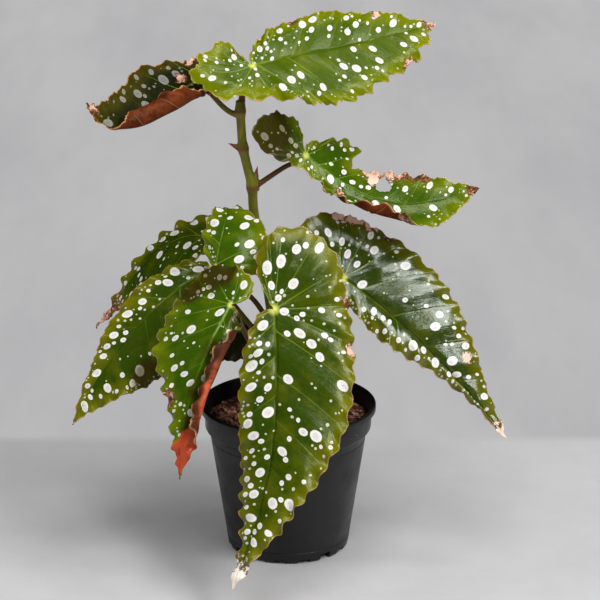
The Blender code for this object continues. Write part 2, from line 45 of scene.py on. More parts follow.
# Node recipes: short names for the shader nodes that every finish uses
class Finish:
    def __init__(self, name):
        self.material = bpy.data.materials.new(name)
        self.material.use_nodes = True
        self.tree = self.material.node_tree
        self.shader = self.tree.nodes["Principled BSDF"]

    def node(self, kind, **settings):
        made = self.tree.nodes.new(kind)
        for key, value in settings.items():
            setattr(made, key, value)
        return made

    def feed(self, value, socket):
        if isinstance(value, bpy.types.NodeSocket):
            self.tree.links.new(value, socket)
        else:
            socket.default_value = value

    def place(self):
        return self.node("ShaderNodeTexCoord").outputs["Object"]

    def attribute(self, name, output="Fac"):
        return self.node("ShaderNodeAttribute", attribute_name=name).outputs[output]

    def uv(self, name):
        return self.node("ShaderNodeUVMap", uv_map=name).outputs["UV"]

    def axis(self, vector, name):
        split = self.node("ShaderNodeSeparateXYZ")
        self.feed(vector, split.inputs[0])
        return split.outputs[name]

    def math(self, operation, a, b, clamp=False):
        made = self.node("ShaderNodeMath", operation=operation, use_clamp=clamp)
        self.feed(a, made.inputs[0])
        self.feed(b, made.inputs[1])
        return made.outputs[0]

    def stretch(self, vector, factors):
        made = self.node("ShaderNodeVectorMath", operation="MULTIPLY")
        self.feed(vector, made.inputs[0])
        self.feed(factors, made.inputs[1])
        return made.outputs["Vector"]

    def length(self, vector):
        made = self.node("ShaderNodeVectorMath", operation="LENGTH")
        self.feed(vector, made.inputs[0])
        return made.outputs["Value"]

    def grain(self, vector, scale, detail=3.0, roughness=0.5):
        made = self.node("ShaderNodeTexNoise")
        self.feed(vector, made.inputs["Vector"])
        for name, value in (("Scale", scale), ("Detail", detail), ("Roughness", roughness)):
            made.inputs[name].default_value = value
        return made.outputs["Fac"]

    def cells(self, vector, scale):
        made = self.node("ShaderNodeTexVoronoi")
        self.feed(vector, made.inputs["Vector"])
        made.inputs["Scale"].default_value = scale
        return made.outputs["Distance"]

    def span(self, value, low, high, start=0.0, end=1.0):
        made = self.node("ShaderNodeMapRange", interpolation_type="SMOOTHSTEP")
        self.feed(value, made.inputs["Value"])
        for name, limit in zip(("From Min", "From Max", "To Min", "To Max"), (low, high, start, end)):
            made.inputs[name].default_value = limit
        return made.outputs["Result"]

    def blend(self, share, a, b):
        made = self.node("ShaderNodeMix", data_type="RGBA")
        self.feed(share, made.inputs["Factor"])
        for name, tone in (("A", a), ("B", b)):
            self.feed(tone if isinstance(tone, bpy.types.NodeSocket) else (*tone, 1.0), made.inputs[name])
        return made.outputs["Result"]

    def relief(self, height, distance, strength=1.0, under=None):
        made = self.node("ShaderNodeBump")
        made.inputs["Strength"].default_value = strength
        made.inputs["Distance"].default_value = distance
        self.feed(height, made.inputs["Height"])
        if under is not None:
            self.feed(under, made.inputs["Normal"])
        return made.outputs["Normal"]

    def finish(self, color, roughness, normal):
        self.feed(color, self.shader.inputs["Base Color"])
        self.feed(roughness, self.shader.inputs["Roughness"])
        self.feed(normal, self.shader.inputs["Normal"])
        return self.material


# Small mesh helpers
def newObject(name, data, *materials):
    made = bpy.data.objects.new(name, data)
    bpy.context.scene.collection.objects.link(made)
    for material in materials:
        made.data.materials.append(material)
    return made


def meshOf(shape, name):
    mesh = bpy.data.meshes.new(name)
    shape.to_mesh(mesh)
    shape.free()
    return mesh


def bakeDown(item):
    graph = bpy.context.evaluated_depsgraph_get()
    mesh = bpy.data.meshes.new_from_object(item.evaluated_get(graph))
    item.modifiers.clear()
    item.data = mesh


def addFloats(mesh, **marks):
    for name, values in marks.items():
        layer = mesh.attributes.new(name, "FLOAT", "POINT")
        layer.data.foreach_set("value", np.asarray(values, np.float32))


def smoothLine(points, count=None, step=None, cuts=12):
    points = np.array(points, float)
    padded = np.vstack([2 * points[0] - points[1], points, 2 * points[-1] - points[-2]])
    t = np.linspace(0, 1, cuts, endpoint=False)[:, None]
    line = []
    for before, start, end, after in zip(padded, padded[1:], padded[2:], padded[3:]):
        second = 2 * before - 5 * start + 4 * end - after
        third = 3 * start - before - 3 * end + after
        line.append(0.5 * (2 * start + (end - before) * t + second * t ** 2 + third * t ** 3))
    line = np.vstack(line + [points[-1:]])
    run = np.r_[0, np.cumsum(np.linalg.norm(np.diff(line, axis=0), axis=1))]
    count = count or max(3, round(run[-1] / step) + 1)
    at = np.linspace(0, run[-1], count)
    return np.stack([np.interp(at, run, line[:, axis]) for axis in range(line.shape[1])], 1), run[-1]


# How far each point is from a straight stretch, and how far along it the nearest place is
def gapTo(points, start, end):
    way = end - start
    share = np.clip(((points - start) @ way) / (way @ way), 0, 1)
    return np.linalg.norm(points - start - share[:, None] * way, axis=1), share


def gapToLine(points, line):
    nearest = np.full(len(points), np.inf)
    for start, end in zip(line[:-1], line[1:]):
        nearest = np.minimum(nearest, gapTo(points, start, end)[0])
    return nearest


# Camera and studio
photoView = dict(eye=(0.00812, -1.75934, 0.76113), pitch=18.4, lens=165.0, sensor=36.0, clipStart=0.05)
studio = dict(floorSize=12.0, seamY=0.192, seamBlur=(-0.008, 0.012), worldLevel=0.30,
              floorTone=(0.495, 0.49, 0.495), floorDark=(0.40, 0.40, 0.41),
              wallTone=(0.515, 0.508, 0.515), wallDark=(0.445, 0.44, 0.45))
lamps = [
    dict(name="keyBox", at=(0.78, -0.56, 1.21), aim=(0, 0, 0.22), size=0.55, power=12.5),
    dict(name="topBox", at=(-0.02, -0.62, 1.48), aim=(0, -0.02, 0.2), size=0.6, power=9.5),
    dict(name="glintBox", at=(0.48, 0.02, 1.5), aim=(0, 0, 0.3), size=0.2, power=2.0),
    dict(name="leftBox", at=(-1.15, -0.15, 0.9), aim=(-0.1, 0, 0.1), size=0.6, power=4.0, mirrored=False),
    dict(name="frontBox", at=(-0.35, -1.7, 1.1), aim=(0, 0, 0.2), size=0.7, power=3.5, mirrored=False),
    dict(name="sheenBox", at=(0.66, -0.99, 0.97), aim=(0.08, -0.02, 0.14), size=0.24, power=4.2),
]


def setCamera():
    data = bpy.data.cameras.new("photoCamera")
    data.lens = photoView["lens"]
    data.sensor_width = photoView["sensor"]
    data.clip_start = photoView["clipStart"]
    camera = newObject("photoCamera", data)
    camera.location = photoView["eye"]
    camera.rotation_euler = (math.radians(90 - photoView["pitch"]), 0, 0)
    bpy.context.scene.camera = camera


def setLamps():
    for lamp in lamps:
        data = bpy.data.lights.new(lamp["name"], "AREA")
        data.shape = "RECTANGLE"
        data.size = data.size_y = lamp["size"]
        data.energy = lamp["power"]
        made = newObject(lamp["name"], data)
        made.location = lamp["at"]
        made.visible_glossy = lamp.get("mirrored", True)
        way = Vector(lamp["aim"]) - Vector(lamp["at"])
        made.rotation_euler = way.to_track_quat("-Z", "Y").to_euler()
    world = bpy.data.worlds.new("studioAir")
    world.use_nodes = True
    air = world.node_tree.nodes["Background"]
    air.inputs["Color"].default_value = (1.0, 1.0, 1.0, 1.0)
    air.inputs["Strength"].default_value = studio["worldLevel"]
    bpy.context.scene.world = world
    world.cycles_visibility.glossy = False
    bpy.context.scene.view_settings.view_transform = "Standard"


# One sheet: lit plaster up to the seam, and an evenly bright backdrop behind it
def setFloor():
    shape = bmesh.new()
    bmesh.ops.create_grid(shape, x_segments=1, y_segments=1, size=studio["floorSize"] / 2)
    plaster = Finish("palePlaster")
    place = plaster.place()
    front, back = (studio["seamY"] + blur for blur in studio["seamBlur"])
    behind = plaster.span(plaster.axis(place, "Y"), front, back)
    mottled = plaster.span(plaster.grain(place, 14.0, 6.0, 0.65), 0.36, 0.68, 0.0, 0.32)
    tone = plaster.blend(mottled, studio["floorTone"], studio["floorDark"])
    cloudy = plaster.grain(plaster.stretch(place, (1.0, 0.24, 1.0)), 7.0, 7.0, 0.6)
    wall = plaster.blend(plaster.span(cloudy, 0.32, 0.72), studio["wallTone"], studio["wallDark"])
    bump = plaster.relief(plaster.grain(place, 160.0, 4.0, 0.6), 0.0006, 0.3)
    material = plaster.finish(tone, 0.7, bump)
    even = plaster.node("ShaderNodeEmission")
    plaster.feed(wall, even.inputs["Color"])
    either = plaster.node("ShaderNodeMixShader")
    for value, socket in zip((behind, plaster.shader.outputs[0], even.outputs[0]), either.inputs):
        plaster.feed(value, socket)
    plaster.feed(either.outputs[0], plaster.tree.nodes["Material Output"].inputs["Surface"])
    newObject("studioFloor", meshOf(shape, "studioFloor"), material)


setCamera()
setLamps()
setFloor()
print("stage: camera, lamps and floor")

# Pot: turned from its wall's outline, with drain slots cut at the foot
pot = dict(height=103.0, lipRadius=60.0, lipHeight=5.0, lipWidth=3.2, collarRadius=57.2, collarFoot=86.5,
           bodyTopRadius=53.6, bodyTop=83.0, baseRadius=41.5, baseRound=2.6, wall=1.6, floor=2.0, steps=160,
           mouldLines=(8.2, 78.6), mouldDepth=0.22, mouldReach=0.35, softEdge=0.2, softFrom=50, sharpFrom=32,
           slots=16, slotWidth=8.0, slotReach=(34.5, 45.0), slotFoot=-2.0, slotLow=2.6, slotTall=5.0,
           slotTurn=-7.0, black=(0.006, 0.006, 0.0065), dusty=(0.015, 0.0145, 0.0145),
           scuffed=(0.055, 0.053, 0.050))


def arc(centre, radius, start, end, steps):
    turns = [math.radians(start + (end - start) * i / steps) for i in range(steps + 1)]
    return [(centre[0] + radius * math.cos(turn), centre[1] + radius * math.sin(turn)) for turn in turns]


# Outline points a small step past one of the outline's named places
def stepped(radius, height, *steps):
    return [(radius + outward, height + upward) for outward, upward in steps]


def bodyRadius(height):
    share = (height - pot["baseRound"]) / (pot["bodyTop"] - pot["baseRound"])
    return pot["baseRadius"] + (pot["bodyTopRadius"] - pot["baseRadius"]) * share


def potOutline():
    collar, wall, lipRound = pot["collarRadius"], pot["wall"], pot["lipWidth"] / 2
    lipFoot = pot["height"] - pot["lipHeight"]
    line = arc((pot["baseRadius"] - pot["baseRound"], pot["baseRound"]), pot["baseRound"], -90, 0, 6)
    for height in pot["mouldLines"]:
        reach = pot["mouldReach"]
        line += stepped(bodyRadius(height), height, (0, -reach), (-pot["mouldDepth"], 0), (0, reach))
    line += stepped(pot["bodyTopRadius"], pot["bodyTop"], (0, 0), (0.5, 0.6))
    line += stepped(collar, pot["collarFoot"], (-1.2, -1.2), (-0.7, -0.3), (-0.55, 0.3))
    line += stepped(collar, lipFoot, (0, -0.8), (0.6, -0.15))
    line += stepped(pot["lipRadius"], lipFoot, (-0.6, 0), (-0.1, 0.5))
    line += arc((pot["lipRadius"] - lipRound, pot["height"] - lipRound), lipRound, 0, 180, 12)
    line += stepped(collar - wall, lipFoot, (0, -1.0))
    line += stepped(collar - wall, pot["collarFoot"], (-0.6, -0.4))
    line += stepped(pot["bodyTopRadius"] - wall, pot["bodyTop"], (0, 0))
    line += stepped(pot["baseRadius"] - wall, pot["floor"], (0, 1.4), (-1.4, 0))
    return line


def turned(outline, steps):
    shape = bmesh.new()
    points = [shape.verts.new((radius * mm, 0, height * mm)) for radius, height in outline]
    edges = [shape.edges.new(pair) for pair in zip(points[:-1], points[1:])]
    bmesh.ops.spin(shape, geom=points + edges, cent=(0, 0, 0), axis=(0, 0, 1), dvec=(0, 0, 0),
                   angle=math.tau, steps=steps, use_merge=True)
    bmesh.ops.remove_doubles(shape, verts=shape.verts, dist=1e-6)
    bmesh.ops.holes_fill(shape, edges=[edge for edge in shape.edges if edge.is_boundary], sides=0)
    bmesh.ops.recalc_face_normals(shape, faces=shape.faces)
    return shape


def blackPlastic():
    plastic = Finish("blackPlastic")
    place = plastic.place()
    dust = plastic.span(plastic.grain(place, 14.0, 6.0, 0.7), 0.45, 0.8, 0.0, 0.5)
    tone = plastic.blend(dust, pot["black"], pot["dusty"])
    streaked = plastic.grain(plastic.stretch(place, (1.0, 1.0, 0.12)), 190.0, 3.0, 0.6)
    tone = plastic.blend(plastic.span(streaked, 0.60, 0.78, 0.0, 0.22), tone, pot["scuffed"])
    rough = plastic.span(plastic.grain(place, 55.0, 5.0, 0.65), 0.3, 0.7, 0.34, 0.52)
    bump = plastic.relief(plastic.grain(place, 900.0, 2.0, 0.5), 0.00008, 0.5)
    plastic.shader.inputs["Specular IOR Level"].default_value = 0.36
    return plastic.finish(tone, rough, bump)


# Low slots all round the foot, every fourth one taller
def slotBlocks():
    shape = bmesh.new()
    low, (inner, outer) = pot["slotFoot"], pot["slotReach"]
    for number in range(pot["slots"]):
        top = pot["slotTall"] if number % 4 == 2 else pot["slotLow"]
        block = bmesh.ops.create_cube(shape, size=1.0)["verts"]
        bmesh.ops.scale(shape, verts=block, vec=(outer - inner, pot["slotWidth"], top - low))
        bmesh.ops.translate(shape, verts=block, vec=((inner + outer) / 2, 0, (top + low) / 2))
        turn = Matrix.Rotation(math.radians(pot["slotTurn"] + 360 * number / pot["slots"] - 90), 3, "Z")
        bmesh.ops.rotate(shape, verts=block, cent=(0, 0, 0), matrix=turn)
    bmesh.ops.scale(shape, verts=shape.verts, vec=(mm, mm, mm))
    return newObject("slotBlocks", meshOf(shape, "slotBlocks"))


def makePot():
    body = newObject("nurseryPot", meshOf(turned(potOutline(), pot["steps"]), "nurseryPot"), blackPlastic())
    blocks = slotBlocks()
    cut = body.modifiers.new("slots", "BOOLEAN")
    cut.operation = "DIFFERENCE"
    cut.object = blocks
    bakeDown(body)
    bpy.data.objects.remove(blocks, do_unlink=True)
    soften = body.modifiers.new("softEdges", "BEVEL")
    soften.width = pot["softEdge"] * mm
    soften.segments = 2
    soften.limit_method = "ANGLE"
    soften.angle_limit = math.radians(pot["softFrom"])
    body.data.shade_smooth()
    body.data.set_sharp_from_angle(angle=math.radians(pot["sharpFrom"]))
    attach(body, "root")
    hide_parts("pot")


makePot()
print("stage: pot")

# Coir mix: a lumpy bed with loose chips and fibres on top
soil = dict(top=92.0, edge=54.75, gap=0.35, rings=46, steps=120, lump=1.5, batch=20, seed=11, sharpFrom=55,
            chips=900, chipInset=3.0, chipLength=(3.0, 9.5), chipWidth=(1.8, 5.0), chipThick=(1.0, 2.6),
            chipRadius=0.62, chipRough=(-0.32, 0.28), chipTilt=(0.45, 0.4), chipSink=(-0.6, 0.9),
            fibres=90, fibreInset=6.0, fibreLength=(5, 16), fibreRadius=(0.10, 0.22), fibreBend=0.12,
            fibreRise=(0.0, 0.25), fibreLift=0.9, fibreSteps=6,
            dark=(0.030, 0.012, 0.008), red=(0.120, 0.045, 0.027), bark=(0.24, 0.095, 0.055),
            straw=(0.50, 0.30, 0.20))


def soilHeight(x, y):
    swell = 0.7 * np.sin(x * 0.09 + 1) * np.cos(y * 0.11)
    lump = np.sin(x * 0.55 + 2 * np.sin(y * 0.31)) * np.sin(y * 0.61 + 1.7 * np.sin(x * 0.27))
    fine = np.sin(x * 1.9 + 1.3 * np.sin(y * 1.1)) * np.sin(y * 2.1 + x * 0.4)
    return float(soil["top"] + swell + soil["lump"] * (0.6 * lump + 0.25 * fine) - 0.4)


def coirFinish():
    coir = Finish("coirMix")
    place = coir.place()
    chip = coir.attribute("chipTone")
    grain = coir.grain(coir.stretch(place, (1.0, 1.0, 2.5)), 900.0, 5.0, 0.7)
    patch = coir.grain(place, 130.0, 4.0, 0.6)
    tone = coir.blend(coir.span(patch, 0.35, 0.7), soil["dark"], soil["red"])
    tone = coir.blend(coir.span(chip, 0.15, 0.75), tone, soil["bark"])
    tone = coir.blend(coir.span(chip, 0.80, 0.98), tone, soil["straw"])
    tone = coir.blend(coir.span(grain, 0.55, 0.8, 0.0, 0.55), tone, soil["dark"])
    coir.shader.inputs["Specular IOR Level"].default_value = 0.3
    bump = coir.relief(grain, 0.0005, 0.8, coir.relief(patch, 0.001, 0.5))
    return coir.finish(tone, coir.span(grain, 0.2, 0.8, 0.75, 1.0), bump)


def soilBed():
    wall, foot = pot["wall"] + soil["gap"], pot["floor"] + soil["gap"]
    outline = stepped(0, foot, (0, 0))
    outline += stepped(pot["baseRadius"] - wall, foot, (-1.6, 0), (0, 1.45))
    outline += stepped(pot["bodyTopRadius"] - wall, pot["bodyTop"], (0, 0.2))
    outline += stepped(pot["collarRadius"] - wall, pot["collarFoot"], (-0.6, 0.2))
    outline += [(soil["edge"] * (1 - ring / soil["rings"]), soil["top"]) for ring in range(soil["rings"] + 1)]
    shape = turned(outline, soil["steps"])
    for vertex in shape.verts:
        if vertex.co.z > (soil["top"] - 0.1) * mm:
            vertex.co.z = soilHeight(vertex.co.x / mm, vertex.co.y / mm) * mm
    return shape


def scattered(random, inset):
    radius = (soil["edge"] - inset) * math.sqrt(random.uniform(0, 1))
    turn = random.uniform(0, math.tau)
    return radius * math.cos(turn), radius * math.sin(turn)


def addChip(shape, tone, random):
    x, y = scattered(random, soil["chipInset"])
    size = [random.uniform(*soil[key]) for key in ("chipLength", "chipWidth", "chipThick")]
    size[0] *= 0.5 + 0.5 * random.uniform(0, 1) ** 2
    block = bmesh.ops.create_icosphere(shape, subdivisions=1, radius=soil["chipRadius"])["verts"]
    for vertex in block:
        vertex.co *= 1 + random.uniform(*soil["chipRough"])
    bmesh.ops.scale(shape, verts=block, vec=Vector(size) * mm)
    tilts = [Matrix.Rotation(random.normal(0, tilt), 3, axis) for tilt, axis in zip(soil["chipTilt"], "XY")]
    spin = Matrix.Rotation(random.uniform(0, math.tau), 3, "Z")
    bmesh.ops.rotate(shape, verts=block, cent=(0, 0, 0), matrix=spin @ tilts[0] @ tilts[1])
    height = soilHeight(x, y) + random.uniform(*soil["chipSink"])
    bmesh.ops.translate(shape, verts=block, vec=Vector((x, y, height)) * mm)
    shade = random.uniform(0, 1)
    for vertex in block:
        vertex[tone] = shade


def addFibre(shape, tone, random):
    x, y = scattered(random, soil["fibreInset"])
    way = random.uniform(0, math.tau)
    length = random.uniform(*soil["fibreLength"])
    bend, rise = random.normal(0, soil["fibreBend"]), random.uniform(*soil["fibreRise"])
    radius = random.uniform(*soil["fibreRadius"]) * mm
    ring = bmesh.ops.create_circle(shape, cap_ends=True, segments=4, radius=radius)["verts"]
    spin = Matrix.Rotation(way, 3, "Z") @ Matrix.Rotation(math.radians(90), 3, "Y")
    bmesh.ops.rotate(shape, verts=ring, cent=(0, 0, 0), matrix=spin)
    bmesh.ops.translate(shape, verts=ring, vec=Vector((x, y, soilHeight(x, y) + soil["fibreLift"])) * mm)
    face = ring[0].link_faces[0]
    shade = random.uniform(0.7, 1.0)
    for vertex in ring:
        vertex[tone] = shade
    for step in range(soil["fibreSteps"]):
        face = bmesh.ops.extrude_discrete_faces(shape, faces=[face])["faces"][0]
        heading = way + bend * step
        lift = rise * math.sin(math.pi * step / 5) - 0.05 * step
        move = Vector((math.cos(heading), math.sin(heading), lift)) * length / soil["fibreSteps"] * mm
        bmesh.ops.translate(shape, verts=list(face.verts), vec=move)
        for vertex in face.verts:
            vertex[tone] = shade


# Each batch is a small mesh of its own, since an operator walks the whole mesh it works on
def addInBatches(shape, count, addOne, random):
    for low in range(0, count, soil["batch"]):
        part = bmesh.new()
        tone = part.verts.layers.float.new("chipTone")
        for _ in range(min(soil["batch"], count - low)):
            addOne(part, tone, random)
        mesh = meshOf(part, "batch")
        shape.from_mesh(mesh)
        bpy.data.meshes.remove(mesh)


def makeSoil():
    random = np.random.default_rng(soil["seed"])
    shape = soilBed()
    shape.verts.layers.float.new("chipTone")
    addInBatches(shape, soil["chips"], addChip, random)
    addInBatches(shape, soil["fibres"], addFibre, random)
    bed = newObject("coirBed", meshOf(shape, "coirBed"), coirFinish())
    bed.data.shade_smooth()
    bed.data.set_sharp_from_angle(angle=math.radians(soil["sharpFrom"]))
    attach(bed, "root")
    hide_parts("soil")


makeSoil()
print("stage: coir mix")

# Leaves: the same flat outline, midrib and folds as the model's blades
outlines = dict(
    wide=[(0, 0), (-0.06, -0.045), (-0.15, -0.085), (-0.23, -0.055), (-0.285, 0.02), (-0.29, 0.10),
          (-0.255, 0.18), (-0.18, 0.24), (-0.07, 0.275), (0.05, 0.295), (0.17, 0.305), (0.30, 0.30),
          (0.42, 0.285), (0.53, 0.25), (0.64, 0.205), (0.74, 0.15), (0.83, 0.095), (0.91, 0.045),
          (0.96, 0.017), (1, 0)],
    narrow=[(0, 0), (0, -0.05), (0.04, -0.10), (0.12, -0.15), (0.22, -0.18), (0.34, -0.185), (0.46, -0.17),
            (0.58, -0.14), (0.70, -0.10), (0.81, -0.06), (0.90, -0.028), (0.96, -0.010), (1, 0)],
    torn=[(0, 0), (-0.035, -0.06), (0.015, -0.135), (0.11, -0.225), (0.18, -0.28), (0.28, -0.285),
          (0.25, -0.21), (0.27, -0.155), (0.33, -0.16), (0.405, -0.175), (0.51, -0.205), (0.60, -0.205),
          (0.685, -0.175), (0.77, -0.145), (0.88, -0.085), (0.965, -0.03), (1, 0)],
)
stations = (-0.3, 0.0, 0.35, 0.7, 1.0)
blade = dict(thickness=0.55, column=1.05, rows=26, rowCrowd=1.25, spineReach=(-0.32, 1.02), spineCuts=135,
             rayLean=0.6, veinPitch=26.0, curlSpan=0.3, ruffle=1.5, ruffleReach=0.11, seatCalm=0.15,
             toothPitch=5.4, toothRise=0.68, toothHeight=0.85, toothFrom=0.72, scallopPitch=12.5,
             lobePitch=15.5, lobeRise=0.7, tipReach=24.0, quilt=0.55, quiltReach=9.0, archTip=40.0,
             frillPitch=13.5, frillHeight=1.5, frillReach=9.0, seatFlat=25.0, crinkle=2.4)
tornHole = dict(centre=(0.47, -0.11), size=(0.045, 0.052))

# dry, painted shade and painted backlit red list patches as place along, place across and radius, and dry a
# paleness; the painted shade falls on folds and lobes under other leaves, the backlit red on a twisted tip
leaves = {
    "leaf_top_right": dict(
        at=(-23, 0, 338), length=133, side=-1,
        heading=(10, 22, 22, 22, 22), pitch=(-40, 4, 4, 9, 11), roll=(-60, -45, -45, -45, -45),
        wide=(0.75, 0.68, 1.05, 1.25, 2.4), narrow=(1.0, 1.0, 1.15, 1.6, 2.4), inner=1.5, ruffle=2.2,
        tone="bright", seed=3, teeth=1.4, lobes=5.5, frill=1.3, quilt=1.8, arch=1.2,
        spotSize=0.8, spotShare=1.15,
        dry=[(1.0, 0.0, 0.05, 0.4), (0.285, -0.2, 0.018, 0.2), (0.72, -0.13, 0.02, 0.6),
             (0.79, 0.19, 0.035, 0.3)]),
    "leaf_top_left": dict(
        at=(-55, 5, 329), length=94, side=-1, heading=210, pitch=(-20, -20, -22, 3, 55),
        foldWide=(45, 45, 52, 52, 50), curlWide=20, foldNarrow=(-40, -40, -45, -55, -45),
        curlNarrow=(120, 120, 180, 220, 90),
        wide=(0.6, 0.55, 0.95, 1.0, 1.3), narrow=(1.8, 1.6, 1.95, 3.2, 1.2), ruffle=1.0,
        tone="olive", seed=5, teeth=1.3,
        dry=[(1.0, 0.0, 0.10, 0.25), (0.15, 0.07, 0.03, 0.5), (0.02, 0.16, 0.03, 0.55)]),
    "leaf_middle_right": dict(
        at=(12, 0, 277), length=127, side=-1, pitch=(-75, -45, -27, 8, 22), roll=(-50, -40, -30, -40, -50),
        foldWide=(0, -10, -38, -12, 0), curlWide=(0, 0, 440, 130, 0),
        wide=(1.15, 0.3, 0.5, 1.05, 1.3), torn=True,
        tone="fresh", seed=8, teeth=1.2, frill=1.3, spotSize=0.82,
        dusk=[(-0.19, 0.09, 0.13), (-0.1, 0.2, 0.08)],
        dry=[(1.0, 0.0, 0.05, 0.2), (0.38, -0.17, 0.045, 0.45), (0.47, -0.20, 0.05, 0.3),
             (0.57, -0.205, 0.045, 0.1), (0.66, -0.19, 0.04, 0.1), (0.72, -0.165, 0.03, 0.1),
             (0.40, -0.12, 0.03, 0.9), (0.256, 0.06, 0.02, 0.2), (0.425, 0.07, 0.03, 0.1),
             (0.60, 0.17, 0.03, 0.1)]),
    "leaf_front": dict(
        at=(-9, -58, 188.6), length=186, side=1,
        heading=(275, 278, 265, 235, 220), pitch=(-60, -65, -66, -62, -60),
        wide=(1.0, 0.92, 0.88, 0.76, 0.75), narrow=(0.6, 0.7, 0.7, 0.8, 0.9), inner=0.6, tip=1.9,
        tone="deep", seed=12, teeth=0.5, scallop=1.6, frill=1.5, quilt=1.5, arch=1.8,
        spotSize=1.12, spotShare=0.85,
        dry=[(1.0, 0.0, 0.085, 1.0), (0.15, 0.27, 0.018, 0.6), (-0.02, 0.27, 0.02, 0.2)]),
    "leaf_right": dict(
        at=(37, -8, 194), length=155, side=1, heading=-15, pitch=(-42, -34, -40, -47, -50), roll=-50,
        wide=(0.95, 0.95, 0.9, 0.68, 0.55), narrow=(0.6, 0.6, 0.6, 0.3, 0.3), tip=1.2,
        tone="dusky", seed=21, teeth=0.9, frill=1.2, quilt=1.8, arch=2.6, spotSize=0.9,
        dry=[(0.985, 0.0, 0.055, 0.93), (-0.19, 0.215, 0.028, 0.9), (-0.13, 0.25, 0.036, 0.8),
             (-0.04, 0.285, 0.036, 0.7), (0.05, 0.30, 0.03, 0.4), (0.62, 0.095, 0.02, 0.9)]),
    "leaf_front_left": dict(
        at=(-37, -62, 193.4), length=122, side=-1,
        heading=(240, 236, 230, 235, 270), pitch=(-62, -42, -55, -72, -80),
        foldWide=-5, foldNarrow=(-60, -80, -85, -85, -60), curlNarrow=(400, 500, 520, 700, 900),
        wide=(1.3, 1.2, 1.25, 0.55, 0.3), narrow=(0.9, 1.0, 1.12, 1.5, 1.8), lobe=0.75,
        tone="fresh", under="glow", seed=33, teeth=1.4, frill=1.6,
        flush=[(1.0, 0.0, 0.10), (0.88, -0.02, 0.08), (0.78, -0.045, 0.05)],
        dusk=[(0.3, -0.12, 0.10), (0.5, -0.11, 0.10), (0.72, -0.06, 0.07), (-0.16, 0.16, 0.09),
              (-0.03, 0.30, 0.07), (0.03, -0.12, 0.07)],
        dry=[(0.60, 0.17, 0.045, 0.2), (1.0, 0.0, 0.03, 0.3)]),
    "leaf_low_left": dict(
        at=(-52, 4, 197), length=143, side=1, heading=205, pitch=(35, -18, -38, -52, -60), roll=32,
        inner=0.4, lobe=0.55, wide=(0.4, 0.55, 1.05, 1.15, 1.1), narrow=0.8,
        tone="deep", seed=41, frill=1.2, dusk=[(0.60, 0.23, 0.08)],
        dry=[(1.0, 0.0, 0.02, 0.3), (0.42, 0.285, 0.03, 0.1)]),
    "leaf_upper_centre": dict(
        at=(-47.4, -30, 209.7), length=82, side=-1,
        heading=(58, 62, 78, 100, 110), pitch=(80, 68, 34, -15, -40), roll=(10, 10, 8, 0, 0),
        curlWide=-45, curlNarrow=-45, inner=-0.8, lobe=0.2, ruffle=1.0,
        wide=(1.0, 1.4, 1.25, 0.6, 0.5), narrow=(0.9, 0.95, 1.0, 0.8, 0.7),
        tone="fresh", seed=52, teeth=0.6, frill=1.1, dry=[(0.36, 0.42, 0.02, 0.9)]),
    "leaf_upper_left": dict(
        at=(-45, 38, 208), length=120, side=-1,
        heading=(165, 168, 172, 180, 185), pitch=(0, 8, -35, -55, -50), roll=20,
        inner=0.4, lobe=0.5, wide=(0.7, 0.7, 0.5, 0.4, 0.4), narrow=(1.2, 1.5, 1.85, 1.9, 0.8),
        tone="deep", seed=64, frill=1.2, dry=[(1.0, 0.0, 0.17, 0.3)]),
    "leaf_low_rear": dict(
        at=(-24, 14, 150), length=72, side=1, heading=175, pitch=-10, roll=60, lobe=0.5, wide=0.9,
        # its tone is painted deep shade
        tone="dark", seed=77, teeth=1.2, frill=1.2),
}


def rowOf(value):
    return np.array(np.broadcast_to(np.array(value, float), len(stations)))


def along(values, x):
    rows = np.array(stations)
    x = np.clip(x, rows[0], rows[-1])
    slopes = np.gradient(values, rows)
    i = np.clip(np.searchsorted(rows, x, side="right") - 1, 0, len(rows) - 2)
    span = rows[i + 1] - rows[i]
    t = (x - rows[i]) / span
    return (values[i] * (2 * t ** 3 - 3 * t ** 2 + 1) + span * slopes[i] * (t ** 3 - 2 * t ** 2 + t)
            + values[i + 1] * (3 * t ** 2 - 2 * t ** 3) + span * slopes[i + 1] * (t ** 3 - t ** 2))


